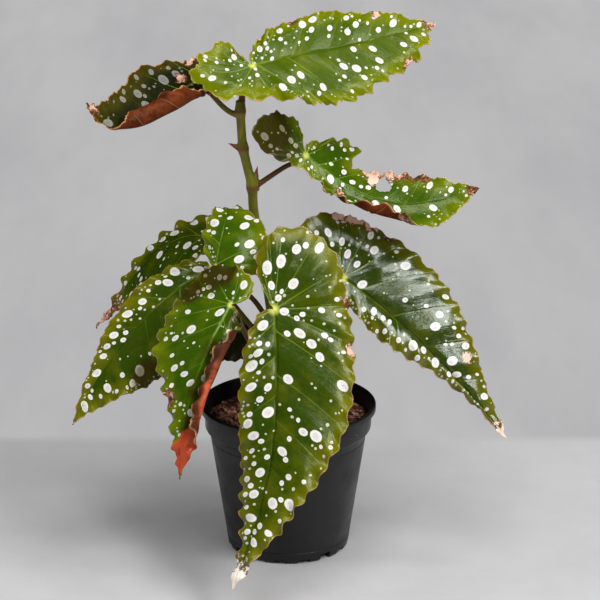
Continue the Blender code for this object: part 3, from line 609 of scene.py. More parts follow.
class LeafForm:
    def __init__(self, leaf):
        self.leaf = leaf
        self.at = np.array(leaf["at"], float)
        self.length = float(leaf["length"])
        self.side = leaf["side"]
        names = ("heading", "pitch", "roll", "foldWide", "foldNarrow", "curlWide", "curlNarrow")
        self.rows = {name: rowOf(leaf.get(name, 0)) for name in names}
        torn = leaf.get("torn", False)
        self.wide = self.half(outlines["wide"], leaf.get("wide", 1.0), True)
        width = 1.0 if torn else leaf.get("narrow", 1.0)
        self.narrow = self.half(outlines["torn" if torn else "narrow"], width, False)
        self.margins = [smoothLine(half, count=240)[0] for half in (self.wide, self.narrow)]
        self.spineX = np.linspace(*blade["spineReach"], blade["spineCuts"])
        steps = self.direction((self.spineX[1:] + self.spineX[:-1]) / 2)
        steps = steps * (self.spineX[1] - self.spineX[0]) * self.length
        spine = np.vstack([np.zeros(3), np.cumsum(steps, axis=0)])
        self.spine = spine - self.onSpine(np.zeros(1), spine) + self.at

    def half(self, points, width, onWide):
        row = rowOf(width)
        inner, lobe = self.leaf.get("inner", 1.0), self.leaf.get("lobe", 1.0)
        shaped = []
        for x, y in points:
            factor = inner if onWide and y < 0 else float(along(row, np.array(x)))
            shaped.append((x * (lobe if x < 0 and onWide else 1.0), y * factor))
        return shaped

    def onSpine(self, x, spine):
        return np.stack([np.interp(x, self.spineX, spine[:, axis]) for axis in range(3)], -1)

    def angle(self, name, x):
        return np.radians(along(self.rows[name], x))

    def direction(self, x):
        heading, pitch = self.angle("heading", x), self.angle("pitch", x)
        level = np.cos(pitch)
        return np.stack([level * np.cos(heading), level * np.sin(heading), np.sin(pitch)], -1)

    def frameAt(self, x):
        heading, pitch, roll = (self.angle(name, x) for name in ("heading", "pitch", "roll"))
        lean = -np.sin(pitch)
        up = np.stack([lean * np.cos(heading), lean * np.sin(heading), np.cos(pitch)], -1)
        left = np.stack([-np.sin(heading), np.cos(heading), np.zeros_like(heading)], -1)
        cosine, sine = np.cos(roll)[..., None], np.sin(roll)[..., None]
        return (left * cosine - up * sine) * self.side, up * cosine + left * sine

    def marginGap(self, points, every=1):
        return np.minimum(*(gapToLine(points, margin[::every]) for margin in self.margins))

    # Puts flat points, in leaf lengths, on the bent blade; extra is a lift in millimetres
    def place(self, points, gap, extra):
        x, y = points[:, 0], points[:, 1]
        across, up = self.frameAt(x)
        wide = y >= 0
        fold = np.where(wide, self.angle("foldWide", x), self.angle("foldNarrow", x))
        curl = np.where(wide, self.angle("curlWide", x), self.angle("curlNarrow", x))
        reach = np.abs(y)
        shares = (np.arange(12) + 0.5) / 12
        bend = fold[:, None] + curl[:, None] * (reach[:, None] * shares / blade["curlSpan"]) ** 1.5
        sideways = np.cos(bend).mean(1) * y
        rise = np.sin(bend).mean(1) * reach
        edge = np.clip(1 - gap / blade["ruffleReach"], 0, 1) ** 2
        calm = np.clip(np.hypot(x, y) / blade["seatCalm"], 0, 1) ** 2
        roundTurn = np.arctan2(y - 0.08, (x - 0.25) * 0.55)
        waves = max(7, round(self.length / 13))
        ruffle = self.leaf.get("ruffle", blade["ruffle"]) * np.sin(waves * roundTurn + self.length)
        ruffle = ruffle * edge * calm * np.clip((1 - x) * self.length / blade["tipReach"], 0, 1)
        lift = self.length * rise + ruffle + extra * calm
        return self.onSpine(x, self.spine) + across * (self.length * sideways)[:, None] + up * lift[:, None]


# Rays run from the midrib to the margin, as the side veins do; both halves share their places on the midrib
class RayGrid:
    def __init__(self, form):
        self.form = form
        fine = [smoothLine(half, count=900) for half in (form.wide, form.narrow)]
        self.lines = [line for line, _ in fine]
        self.runs = [run * form.length for _, run in fine]
        self.t = np.linspace(0, 1, 900)
        self.starts = [self.rayStart(line) for line in self.lines]
        wideColumns = np.linspace(0, 1, round(self.runs[0] / blade["column"]) + 1)
        wideStart = np.interp(wideColumns, self.t, self.starts[0])
        fanEnd = int(np.flatnonzero(self.starts[1] <= 0)[-1])
        shared = wideStart[wideStart > 0]
        later = np.interp(shared, self.starts[1][fanEnd:], self.t[fanEnd:])
        fanCount = max(4, round(self.t[fanEnd] * self.runs[1] / blade["column"]))
        narrowColumns = np.r_[np.linspace(0, self.t[fanEnd], fanCount), later]
        self.columns = [wideColumns, narrowColumns]
        self.columnStarts = [wideStart, np.r_[np.zeros(fanCount), shared]]
        self.veins = [self.veinColumns(half) for half in (0, 1)]

    def rayStart(self, line):
        q = line[:, 0] - blade["rayLean"] * np.abs(line[:, 1]) - 0.03
        start = np.maximum(0.5 * (q + np.sqrt(q * q + 0.0016)) - 0.0105, 0)
        start = np.maximum.accumulate(start)
        return start / start[-1]

    def margin(self, half, t):
        return np.stack([np.interp(t, self.t, self.lines[half][:, axis]) for axis in (0, 1)], -1)

    def veinColumns(self, half):
        columns = self.columns[half]
        count = max(4, round(self.runs[half] / blade["veinPitch"]))
        wanted = (np.arange(count) + 0.55) / (count + 0.25)
        return [int(np.argmin(np.abs(columns - t))) for t in wanted]

    def veinLines(self):
        lines = [((0.0, 0.0), (1.0, 0.0), 1.7)]
        for half in (0, 1):
            for column in self.veins[half]:
                end = self.margin(half, self.columns[half][column])
                lines.append(((self.columnStarts[half][column], 0.0), end, 1.0))
        return lines

    # How far across its sector, from vein to vein, each column stands
    def sector(self, half):
        edges = np.r_[0, self.veins[half], len(self.columns[half]) - 1]
        number = np.arange(len(self.columns[half]))
        k = np.clip(np.searchsorted(edges, number, side="right") - 1, 0, len(edges) - 2)
        return (number - edges[k]) / np.maximum(edges[k + 1] - edges[k], 1)


# A saw wave from -0.5 to 0.5, whose rise takes the given share of each tooth
def saw(place, rise):
    share = place % 1.0
    return np.where(share < rise, share / rise, (1 - share) / (1 - rise)) - 0.5


def toothLift(run, arcPlace, seed, teeth, scallop, lobes):
    place = arcPlace / blade["toothPitch"] + 0.35 * np.sin(arcPlace / 17 + seed)
    tooth = saw(place + 0.2 * np.sin(arcPlace / 7.3 + 2 * seed), blade["toothRise"])
    size = 0.65 + 0.35 * np.sin(arcPlace / 13 + 3 * seed)
    broad = np.sin(math.tau * arcPlace / blade["scallopPitch"] + 1.8 * np.sin(arcPlace / 21 + seed))
    point = saw(arcPlace / blade["lobePitch"] + 0.25 * np.sin(arcPlace / 29), blade["lobeRise"])
    fade = np.clip(np.minimum(arcPlace / 9, (run - arcPlace) / 12), 0, 1)
    return blade["toothHeight"] * (1.6 * teeth * tooth * size + 0.8 * scallop * broad + lobes * point) * fade


def holeRatio(points):
    offset = (points - np.array(tornHole["centre"])) / np.array(tornHole["size"])
    turn = np.arctan2(offset[:, 1], offset[:, 0])
    ragged = 1 + 0.12 * np.sin(3 * turn + 0.6) + 0.05 * np.sin(11 * turn)
    return np.linalg.norm(offset, axis=1) / ragged


def halfBlade(shape, grid, half, layers):
    form, leaf = grid.form, grid.form.leaf
    columns, starts, run = grid.columns[half], grid.columnStarts[half], grid.runs[half]
    count, rows = len(columns), blade["rows"]
    made = bmesh.ops.create_grid(shape, x_segments=count - 1, y_segments=rows, size=1.0)["verts"]
    spots = np.array([vertex.co for vertex in made])
    i = np.rint((spots[:, 0] + 1) / 2 * (count - 1)).astype(int)
    j = np.rint((spots[:, 1] + 1) / 2 * rows)
    f = 1 - (1 - j / rows) ** blade["rowCrowd"]
    t = columns[i]
    margin = grid.margin(half, t)
    way = grid.margin(half, np.clip(t + 0.004, 0, 1)) - grid.margin(half, np.clip(t - 0.004, 0, 1))
    outward = np.stack([-way[:, 1], way[:, 0]], 1) * (1 if half == 0 else -1)
    outward /= np.maximum(np.linalg.norm(way, axis=1), 1e-9)[:, None]
    arcPlace = t * run
    jagged = (leaf.get("teeth", 1.0), leaf.get("scallop", 1.0), leaf.get("lobes", 0.0) * (1 - half))
    teeth = toothLift(run, arcPlace, leaf["seed"] + half, *jagged)
    teeth = teeth * np.clip((f - blade["toothFrom"]) / (1 - blade["toothFrom"]), 0, 1) ** 2
    finger = leaf.get("tip", 0.0) * np.sin(math.pi * np.clip((run - arcPlace) / blade["tipReach"], 0, 1)) * f
    start = np.stack([starts[i], np.zeros(len(i))], 1)
    flat = start + (margin - start) * f[:, None] + outward * ((teeth + finger) / form.length)[:, None]
    reach = (1 - f) * np.linalg.norm(margin - start, axis=1) * form.length
    for vertex, point, inward, across, place in zip(made, flat, reach, grid.sector(half)[i], arcPlace):
        vertex[layers["flat"]] = (point[0], point[1], across)
        vertex[layers["rays"]] = (place, inward, half * 300.0)
        vertex[layers["edge"]] = inward
    if (half == 0) != (form.side > 0):
        faces = {face for vertex in made for face in vertex.link_faces}
        bmesh.ops.reverse_faces(shape, faces=list(faces))


def openHole(shape, flatLayer):
    gone = set()
    for face in shape.faces:
        centre = sum((vertex[flatLayer] for vertex in face.verts), Vector()) / len(face.verts)
        if centre.y < 0 and holeRatio(np.array([centre[:2]]))[0] < 1:
            gone.add(face)
    rim = {vertex for face in gone for vertex in face.verts
           if any(other not in gone for other in vertex.link_faces)}
    bmesh.ops.delete(shape, geom=list(gone), context="FACES")
    centre = np.array(tornHole["centre"])
    for vertex in rim:
        if vertex.is_valid:
            point = np.array(vertex[flatLayer][:2])
            moved = centre + (point - centre) / holeRatio(np.array([point]))[0]
            vertex[flatLayer] = (*moved, vertex[flatLayer][2])


# Gap to the nearest vein in half vein widths, since a vein thins towards the margin
def veinGaps(points, lines, length):
    nearest = np.full(len(points), np.inf)
    for start, end, weight in lines:
        gap, share = gapTo(points, np.array(start), np.array(end))
        nearest = np.minimum(nearest, gap * length / (0.55 * weight * (1 - 0.72 * share)))
    return np.minimum(nearest, 99.0)


# How near each point is to a patch's centre, and the paleness of the nearest patch
def patchShare(points, patches):
    share, pale = np.zeros(len(points)), np.zeros(len(points))
    for x, y, radius, *shade in patches:
        near = 1 - np.hypot(points[:, 0] - x, points[:, 1] - y) / (2 * radius)
        if shade:
            pale = np.where(near > share, shade[0], pale)
        share = np.maximum(share, near)
    return np.clip(share, 0, 1), pale


# White spots: large ones between the veins first, then middling ones and fine dots, each clear of the rest
spotTries = 3500
spotKinds = [
    dict(name="large", area=390.0, long=(2.7, 4.2), ratio=(0.62, 0.84), edge=2.4, clear=2.4, vein=0.5),
    dict(name="middling", area=230.0, long=(1.3, 2.3), ratio=(0.66, 0.9), edge=1.2, clear=0.9, vein=0.2),
    dict(name="fine", area=100.0, long=(0.45, 1.05), ratio=(0.75, 1.0), edge=0.7, clear=0.7, vein=0.15),
]


def layOutSpots(grid, area):
    form, leaf = grid.form, grid.form.leaf
    random = np.random.default_rng(leaf["seed"])
    veins = grid.veinLines()
    placed = []
    for kind in spotKinds:
        half = random.integers(0, 2, spotTries)
        t = random.uniform(0.02, 0.985, spotTries)
        f = random.uniform(0, 1, spotTries) ** 0.6
        lean = random.normal(0, 0.18, spotTries)
        long = random.uniform(*kind["long"], spotTries) * leaf.get("spotSize", 1.0)
        short = long * random.uniform(*kind["ratio"], spotTries)
        ends = np.where((half == 0)[:, None], grid.margin(0, t), grid.margin(1, t))
        starts = np.where(half == 0, *(np.interp(t, grid.t, line) for line in grid.starts))
        start = np.stack([starts, np.zeros(spotTries)], 1)
        point = start + (ends - start) * f[:, None]
        way = ends - start
        turn = np.arctan2(way[:, 1], way[:, 0]) + lean
        margin = form.marginGap(point, 5) * form.length
        vein = veinGaps(point, veins, form.length) * 0.5
        wanted = area / kind["area"] * leaf.get("spotShare", 1.0)
        found = 0
        for k in np.flatnonzero((margin >= short + kind["edge"]) & (vein >= short * kind["vein"])):
            if found >= wanted:
                break
            x, y = point[k] * form.length
            if all(math.hypot(x - other[0], y - other[1]) >= 0.8 * (long[k] + other[2]) + kind["clear"]
                   for other in placed):
                placed.append((x, y, long[k], short[k], turn[k], kind["name"]))
                found += 1
    return placed


# Places seen from a spot's centre, along its long and short axes
def spotFrame(offset, spot):
    cosine, sine = np.cos(spot[..., 4]), np.sin(spot[..., 4])
    u = (offset[..., 0] * cosine + offset[..., 1] * sine) / spot[..., 2]
    v = (offset[..., 1] * cosine - offset[..., 0] * sine) / spot[..., 3]
    return np.stack([u, v], -1)


def meshNumbers(items, name):
    values = np.zeros(len(items), int)
    items.foreach_get(name, values)
    return values


# Each face reads its nearest spot, so that one round pattern in a UV map draws them all
def spotUv(mesh, name, flat, spots, length):
    layer = mesh.uv_layers.new(name=name)
    totals = meshNumbers(mesh.polygons, "loop_total")
    owner = np.repeat(np.arange(len(totals)), totals)
    points = flat[meshNumbers(mesh.loops, "vertex_index")] * length
    sums = np.zeros((len(totals), 2))
    np.add.at(sums, owner, points)
    centres = sums / totals[:, None]
    table = np.array([spot[:5] for spot in spots])
    gaps = np.linalg.norm(spotFrame(centres[:, None] - table[None, :, :2], table), axis=2)
    nearest = table[np.argmin(gaps, axis=1)[owner]]
    layer.data.foreach_set("uv", np.clip(spotFrame(points - nearest[:, :2], nearest), -40, 40).ravel())


# Lift off the smooth blade: quilting between the veins, a low arch, the margin's frill and dry crinkles
def bladeLift(form, points, run, sector, gap):
    leaf = form.leaf
    x, y, edge = points[:, 0] * form.length, points[:, 1] * form.length, gap * form.length
    calm = np.clip(np.hypot(x, y) / blade["seatFlat"], 0, 1)
    quilt = leaf.get("quilt", 1.0) * np.sin(math.pi * sector) ** 2 * np.clip(edge / blade["quiltReach"], 0, 1)
    reach = np.abs(points[:, 1])
    arch = leaf.get("arch", 0.0) * np.sin(math.pi * reach / np.maximum(reach + gap, 1e-6))
    arch = arch * np.clip((form.length - x) / blade["archTip"], 0, 1)
    frill = np.sin(math.tau * run / blade["frillPitch"] + 1.3 * np.sin(run / 19 + leaf["seed"]))
    frill = frill * leaf.get("frill", 1.0) * np.clip(1 - edge / blade["frillReach"], 0, 1) ** 1.5
    frill = frill * np.clip(x / 12 + 1.5, 0, 1) * np.clip((form.length - x) / blade["tipReach"], 0, 1)
    dry, pale = patchShare(points, leaf.get("dry", []))
    crinkle = dry * (1 - 0.8 * pale) * np.sin(x * 0.9 + 2 * np.sin(y * 0.7)) * np.sin(y * 1.1 + x * 0.3)
    return (blade["quilt"] * quilt + arch) * calm + blade["frillHeight"] * frill + blade["crinkle"] * crinkle


def bladeMesh(name, form, grid):
    leaf = form.leaf
    shape = bmesh.new()
    layers = dict(flat=shape.verts.layers.float_vector.new("flat"),
                  rays=shape.verts.layers.float_vector.new("rays"),
                  edge=shape.verts.layers.float.new("edgeGap"))
    for half in (0, 1):
        halfBlade(shape, grid, half, layers)
    if leaf.get("torn"):
        openHole(shape, layers["flat"])
    vertices = list(shape.verts)
    flat = np.array([vertex[layers["flat"]][:] for vertex in vertices])
    run = np.array([vertex[layers["rays"]][0] for vertex in vertices])
    points, sector = flat[:, :2], flat[:, 2]
    gap = form.marginGap(points)
    places = form.place(points, gap, bladeLift(form, points, run, sector, gap)) * mm
    for vertex, place in zip(vertices, places):
        vertex.co = place
    bmesh.ops.remove_doubles(shape, verts=shape.verts, dist=2e-6)
    return meshOf(shape, name)


def makeLeaf(name, leaf, finishes):
    form = LeafForm(leaf)
    grid = RayGrid(form)
    mesh = bladeMesh(name, form, grid)
    flat = np.zeros(len(mesh.vertices) * 3)
    mesh.attributes["flat"].data.foreach_get("vector", flat)
    flat = flat.reshape(-1, 3)[:, :2]
    dry, pale = patchShare(flat, leaf.get("dry", []))
    # Patch shares for the painted shade and the painted backlit red
    dusk, flush = (patchShare(flat, leaf.get(key, []))[0] for key in ("dusk", "flush"))
    vein = veinGaps(flat, grid.veinLines(), form.length)
    addFloats(mesh, veinGap=vein, dryness=dry, paleness=pale, duskiness=dusk, flush=flush)
    area = sum(polygon.area for polygon in mesh.polygons) / mm ** 2
    spots = layOutSpots(grid, area)
    spotUv(mesh, "largeSpots", flat, [spot for spot in spots if spot[5] != "fine"], form.length)
    spotUv(mesh, "fineSpots", flat, [spot for spot in spots if spot[5] == "fine"], form.length)
    made = newObject("blade_" + name[5:], mesh, *finishes)
    wall = made.modifiers.new("wall", "SOLIDIFY")
    wall.thickness = blade["thickness"] * mm
    wall.offset = 0.0
    wall.material_offset = 1
    mesh.shade_smooth()
    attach(made, "root")
    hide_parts(name)
    print("stage:", name, len(mesh.polygons), "faces,", len(spots), "spots")


# Leaf finishes: green upper face with white spots, and a red-brown underside
upperTones = {
    "bright": dict(deep=(0.044, 0.078, 0.001), light=(0.14, 0.165, 0.001), edge=(0.40, 0.26, 0.06),
                   gloss=0.17, shine=0.17, spot=0.80),
    "fresh": dict(deep=(0.031, 0.073, 0.001), light=(0.120, 0.155, 0.001), edge=(0.44, 0.32, 0.12),
                  gloss=0.18, shine=0.25, spot=0.90),
    "deep": dict(deep=(0.025, 0.050, 0.001), light=(0.125, 0.128, 0.001), edge=(0.33, 0.19, 0.05),
                 gloss=0.19, shine=0.30, spot=0.92),
    "dusky": dict(deep=(0.022, 0.040, 0.001), light=(0.105, 0.108, 0.001), edge=(0.42, 0.26, 0.09),
                  gloss=0.17, shine=0.55, spot=0.9, sheenBlue=0.95),
    # Partly the leaf's own dark olive, partly painted shade: tone darkened and spots dimmed for a face turned
    # from the lamps
    "olive": dict(deep=(0.007, 0.009, 0.001), light=(0.040, 0.033, 0.001), edge=(0.40, 0.17, 0.07),
                  gloss=0.45, shine=0.03, spot=0.24),
    # Painted deep shade: near black with spots almost gone, for the leaf low under the others
    "dark": dict(deep=(0.006, 0.009, 0.001), light=(0.014, 0.014, 0.001), edge=(0.06, 0.03, 0.01),
                 gloss=0.45, shine=0.2, spot=0.05),
}
underTones = {
    "maroon": dict(dark=(0.045, 0.007, 0.001), light=(0.14, 0.026, 0.004), fleck=(0.20, 0.050, 0.010)),
    # Painted backlight glow: bright orange-red standing in for light through the leaf, with painted shade up to
    # shadeEnd and along the margin within darkRim
    "glow": dict(dark=(0.30, 0.035, 0.012), light=(0.55, 0.100, 0.042), fleck=(0.62, 0.22, 0.10),
                 shadeEnd=0.42, darkRim=4.0),
}
# Inks for the leaves; the dark brown-green one is painted shade, and the beige spot tone is the spots' colour
# under that painted shade
leafInks = dict(vein=(0.20, 0.30, 0.03), seat=(0.50, 0.54, 0.10), dusk=(0.026, 0.018, 0.002),
                milk=(0.70, 0.68, 0.66), chalk=(0.42, 0.37, 0.39), ring=(0.74, 0.72, 0.68),
                shadedMilk=(0.42, 0.33, 0.16), dot=(0.60, 0.62, 0.48), flush=(0.36, 0.048, 0.018),
                crispRim=(0.10, 0.035, 0.008), crispDark=(0.020, 0.006, 0.003), crisp=(0.26, 0.095, 0.035),
                papery=(0.66, 0.40, 0.29), bleached=(0.84, 0.76, 0.66), underVein=(0.26, 0.12, 0.03),
                underShade=(0.060, 0.018, 0.006), curlShade=(0.045, 0.014, 0.005),
                underRim=(0.48, 0.24, 0.11))


def spotMask(finish, name, place, wobble):
    local = finish.length(finish.uv(name))
    ragged = finish.math("MULTIPLY", finish.math("SUBTRACT", finish.grain(place, 1500.0, 2.0), 0.5), wobble)
    return finish.span(finish.math("ADD", local, ragged), 0.92, 1.06, 1.0, 0.0), local


def dryTone(finish, place, pale):
    mottled = finish.span(finish.grain(place, 520.0, 4.0, 0.7), 0.38, 0.62)
    brown = finish.blend(mottled, leafInks["crispDark"], leafInks["crisp"])
    blotch = finish.math("ADD", finish.grain(place, 150.0, 4.0, 0.7), finish.math("MULTIPLY", pale, 0.38))
    papery = finish.blend(finish.span(pale, 0.85, 1.0), leafInks["papery"], leafInks["bleached"])
    return finish.blend(finish.span(blotch, 0.55, 0.70), brown, papery)


# White spots over the green, dimmed and turned beige under the painted shade
def spotted(green, color, place, shade, strength):
    large, local = spotMask(green, "largeSpots", place, 0.22)
    fine, _ = spotMask(green, "fineSpots", place, 0.35)
    lit = green.math("SUBTRACT", 1.0, green.math("MULTIPLY", shade, 0.72))
    chalk = green.span(green.grain(place, 1100.0, 3.0, 0.6), 0.40, 0.66, 0.0, 0.75)
    milk = green.blend(chalk, leafInks["milk"], leafInks["chalk"])
    milk = green.blend(green.span(local, 0.25, 0.8), milk, leafInks["ring"])
    milk = green.blend(green.math("MULTIPLY", shade, 0.7), milk, leafInks["shadedMilk"])
    largeShare = green.math("MULTIPLY", large, green.math("MULTIPLY", lit, strength))
    fineShare = green.math("MULTIPLY", fine, green.math("MULTIPLY", lit, 0.8 * strength))
    return green.blend(fineShare, green.blend(largeShare, color, milk), leafInks["dot"]), large


def upperFinish(name, tone):
    green = Finish(name + "Upper")
    place = green.place()
    marks = ("edgeGap", "veinGap", "dryness", "paleness", "duskiness", "flush")
    edge, vein, dry, pale, dusk, flush = (green.attribute(mark) for mark in marks)
    patch = green.grain(place, 60.0, 4.0, 0.6)
    weave = green.grain(place, 420.0, 3.0, 0.6)
    streak = green.grain(green.stretch(green.attribute("rays", "Vector"), (0.13, 0.022, 1.0)), 1.0, 3.0, 0.5)
    fromSeat = green.length(green.stretch(green.attribute("flat", "Vector"), (1.0, 1.0, 0.0)))
    margin = green.span(edge, 0.5, 17.0, 0.95, 0.0)
    streaky = green.span(streak, 0.3, 0.7, -0.10, 0.16)
    ground = green.math("ADD", green.span(patch, 0.35, 0.75, -0.15, 0.35), streaky)
    color = green.blend(green.math("ADD", margin, ground, True), tone["deep"], tone["light"])
    color = green.blend(green.span(weave, 0.35, 0.75, 0.0, 0.22), color, tone["deep"])
    nearSeat = green.span(fromSeat, 0.03, 0.55, 0.5, 0.05)
    veinLine = green.math("MULTIPLY", green.span(vein, 0.2, 1.3, 1.0, 0.0), nearSeat)
    color = green.blend(veinLine, color, leafInks["vein"])
    color = green.blend(green.span(fromSeat, 0.005, 0.028, 1.0, 0.0), color, leafInks["seat"])
    uneven = green.span(patch, 0.3, 0.5, 0.55, 1.0)
    rim = green.math("MULTIPLY", green.span(edge, 0.2, 0.75, 1.0, 0.0), uneven)
    color = green.blend(rim, color, tone["edge"])
    # Painted shade: the listed shade patches darken the green to a dark brown-green and dim the spots
    shade = green.span(green.math("ADD", dusk, green.span(patch, 0.3, 0.7, -0.15, 0.15)), 0.2, 0.6, 0.0, 0.92)
    color = green.blend(shade, color, leafInks["dusk"])
    color, large = spotted(green, color, place, shade, tone["spot"])
    # Painted backlit red where the twisted tip shows its underside: the underside's red made bright as light
    # through the leaf
    flushed = green.math("ADD", flush, green.span(patch, 0.3, 0.7, -0.1, 0.1))
    color = green.blend(green.span(flushed, 0.22, 0.45), color, leafInks["flush"])
    crisp = green.math("ADD", dry, green.span(green.grain(place, 240.0, 4.0, 0.7), 0.3, 0.7, -0.22, 0.22))
    color = green.blend(green.span(crisp, 0.28, 0.40), color, leafInks["crispRim"])
    color = green.blend(green.span(crisp, 0.40, 0.50), color, dryTone(green, place, pale))
    rough = green.span(weave, 0.3, 0.7, tone["gloss"] - 0.04, tone["gloss"] + 0.10)
    rough = green.math("MAXIMUM", rough, green.span(crisp, 0.3, 0.45, 0.0, 0.8))
    rough = green.math("MAXIMUM", rough, green.math("MULTIPLY", large, 0.36))
    pores = green.relief(green.cells(place, 1500.0), 0.00008, 0.5)
    puckers = green.relief(green.grain(place, 150.0, 3.0, 0.55), 0.0005, 0.45, pores)
    ribs = green.relief(streak, 0.0012, 0.4, puckers)
    grooves = green.relief(green.span(vein, 0.0, 3.0), 0.00012, 0.7, ribs)
    green.shader.inputs["Specular IOR Level"].default_value = tone["shine"]
    green.shader.inputs["Specular Tint"].default_value = (0.95, 1.0, tone.get("sheenBlue", 0.68), 1.0)
    return green.finish(color, rough, grooves)


# Up to shadeEnd along the leaf and within darkRim of the margin, the underside takes a painted shade
def underFinish(name, dark, light, fleck, shadeEnd=-1.0, darkRim=0.01):
    red = Finish(name + "Under")
    place = red.place()
    vein, edge, dry, pale = (red.attribute(mark) for mark in ("veinGap", "edgeGap", "dryness", "paleness"))
    patch = red.grain(place, 90.0, 4.0, 0.6)
    fine = red.grain(place, 520.0, 3.0, 0.6)
    color = red.blend(red.span(patch, 0.3, 0.7), dark, light)
    color = red.blend(red.span(fine, 0.4, 0.75, 0.0, 0.4), color, fleck)
    color = red.blend(red.span(vein, 0.6, 1.8, 0.6, 0.0), color, leafInks["underVein"])
    x = red.axis(red.attribute("flat", "Vector"), "X")
    shaded = red.math("ADD", x, red.span(patch, 0.3, 0.7, -0.06, 0.06))
    shaded = red.span(shaded, shadeEnd - 0.12, shadeEnd + 0.1, 0.9, 0.0)
    color = red.blend(shaded, color, leafInks["underShade"])
    color = red.blend(red.span(edge, darkRim, 1.8 * darkRim, 0.9, 0.0), color, leafInks["curlShade"])
    color = red.blend(red.span(edge, 0.3, 1.6, 0.8, 0.0), color, leafInks["underRim"])
    color = red.blend(red.span(dry, 0.28, 0.45), color, dryTone(red, place, pale))
    bump = red.relief(red.span(vein, 0.0, 2.2, 1.0, 0.0), 0.0006, 0.8, red.relief(fine, 0.0003, 0.5))
    bump = red.relief(patch, 0.0012, 0.5, bump)
    red.shader.inputs["Specular IOR Level"].default_value = 0.10
    return red.finish(color, red.span(fine, 0.3, 0.7, 0.42, 0.62), bump)


uppers = {name: upperFinish(name, tone) for name, tone in upperTones.items()}
unders = {name: underFinish(name, **tone) for name, tone in underTones.items()}
for leafName, leafValues in leaves.items():
    makeLeaf(leafName, leafValues, (uppers[leafValues["tone"]], unders[leafValues.get("under", "maroon")]))
print("stage: leaves")

# Canes: tubes along the model's routes, fused into one skin with their stalks and stipules
canes = {
    "main_cane": dict(
        path=[(-1, 2, 60), (-3.5, 2, 100), (-9, 4, 150), (-16, 8, 197.3), (-22.6, 10, 233),
              (-23.8, 5, 253.3), (-26.4, 4, 265.7), (-29.6, 3, 281), (-30.8, 2, 297), (-31.4, 1, 314)],
        radii=(3.9, 2.95), nodes=[150, 203, 253.5, 281, 307],
        stipules=[(-22.8, 4, 252.5, 20, 80, 1.4), (-29.6, 3, 280, 185, 25, 1.0),
                  (-31, 1, 305, 20, 75, 1.1), (-16, 8, 200, 200, 50, 1.0)]),
    "front_cane": dict(
        path=[(-14, -20, 60), (-14.5, -21, 100), (-16, -21, 140), (-19, -20, 168)],
        radii=(3.6, 3.0), nodes=[108, 138, 165],
        stipules=[(-14.6, -21, 108, 160, 50, 1.0), (-16, -21, 139, 20, 50, 1.0)]),
}
stalks = {
    "leaf_top_right": dict(
        cane="main_cane", red=0.7, route=[(-31.4, 1, 310), (-29, 3, 323), (-25.8, 5.5, 331)]),
    "leaf_top_left": dict(
        cane="main_cane", red=0.35, route=[(-31.2, 1, 303), (-40, 3, 307), (-48.5, 7, 314.5), (-54, 9, 321)]),
    "leaf_middle_right": dict(
        cane="main_cane", red=0.85,
        route=[(-23.8, 5, 252.3), (-13, 5.5, 260), (-1, 6, 267.8), (7, 5.5, 271)]),
    "leaf_front": dict(
        cane="front_cane", red=0.6, route=[(-19, -20, 166), (-15, -33, 178), (-11, -47, 183)]),
    "leaf_right": dict(
        cane="main_cane", red=0.6, route=[(-11.7, 5.5, 168), (2, 8, 180), (18, 7, 189), (30, 2, 191.5)]),
    "leaf_front_left": dict(
        cane="front_cane", red=0.6, route=[(-16, -21, 138), (-26, -36, 160), (-33, -50, 180)], seatGap=1.0),
    "leaf_low_left": dict(
        cane="main_cane", red=0.6, route=[(-9, 4, 150), (-22, 13, 170), (-39, 13, 185), (-49, 8, 190)]),
    "leaf_upper_centre": dict(
        cane="front_cane", red=0.4, route=[(-18, -20.3, 156), (-33, -22, 176), (-45, -19, 192)]),
    "leaf_upper_left": dict(
        cane="main_cane", red=0.6, route=[(-17, 8, 202), (-26, 19, 200), (-36, 33, 197), (-43.5, 41, 199.5)]),
    "leaf_low_rear": dict(
        cane="main_cane", red=0.6, route=[(-5, 3, 114), (-12, 12, 130), (-20, 18, 143)]),
}
caneSkin = dict(step=1.6, sides=24, voxel=0.5, smoothing=3, nodeSwell=0.9, nodeSpread=3.5, nodeRing=2.2,
                caneReach=4.2, stalkRadii=(2.0, 1.5), seatGap=0.4, seatRun=4.5, seatAhead=1.5,
                stipuleRadius=3.2, stipuleTip=0.3, stipuleLength=12.0, stipuleMark=2.6,
                green=(0.085, 0.088, 0.002), pale=(0.180, 0.168, 0.004), streak=(0.20, 0.19, 0.03),
                red=(0.085, 0.024, 0.008), speck=(0.22, 0.16, 0.07), ring=(0.11, 0.035, 0.012),
                papery=(0.20, 0.045, 0.018))


def tube(shape, path, radii):
    data = bpy.data.curves.new("route", "CURVE")
    data.dimensions = "3D"
    data.bevel_depth = mm
    data.bevel_resolution = caneSkin["sides"] // 2 - 2
    data.use_fill_caps = True
    spline = data.splines.new("POLY")
    spline.points.add(len(path) - 1)
    for point, place, radius in zip(spline.points, path, radii):
        point.co = (*(np.array(place) * mm), 1)
        point.radius = radius
    drawn = newObject("route", data)
    mesh = bpy.data.meshes.new_from_object(drawn.evaluated_get(bpy.context.evaluated_depsgraph_get()))
    shape.from_mesh(mesh)
    bpy.data.objects.remove(drawn, do_unlink=True)


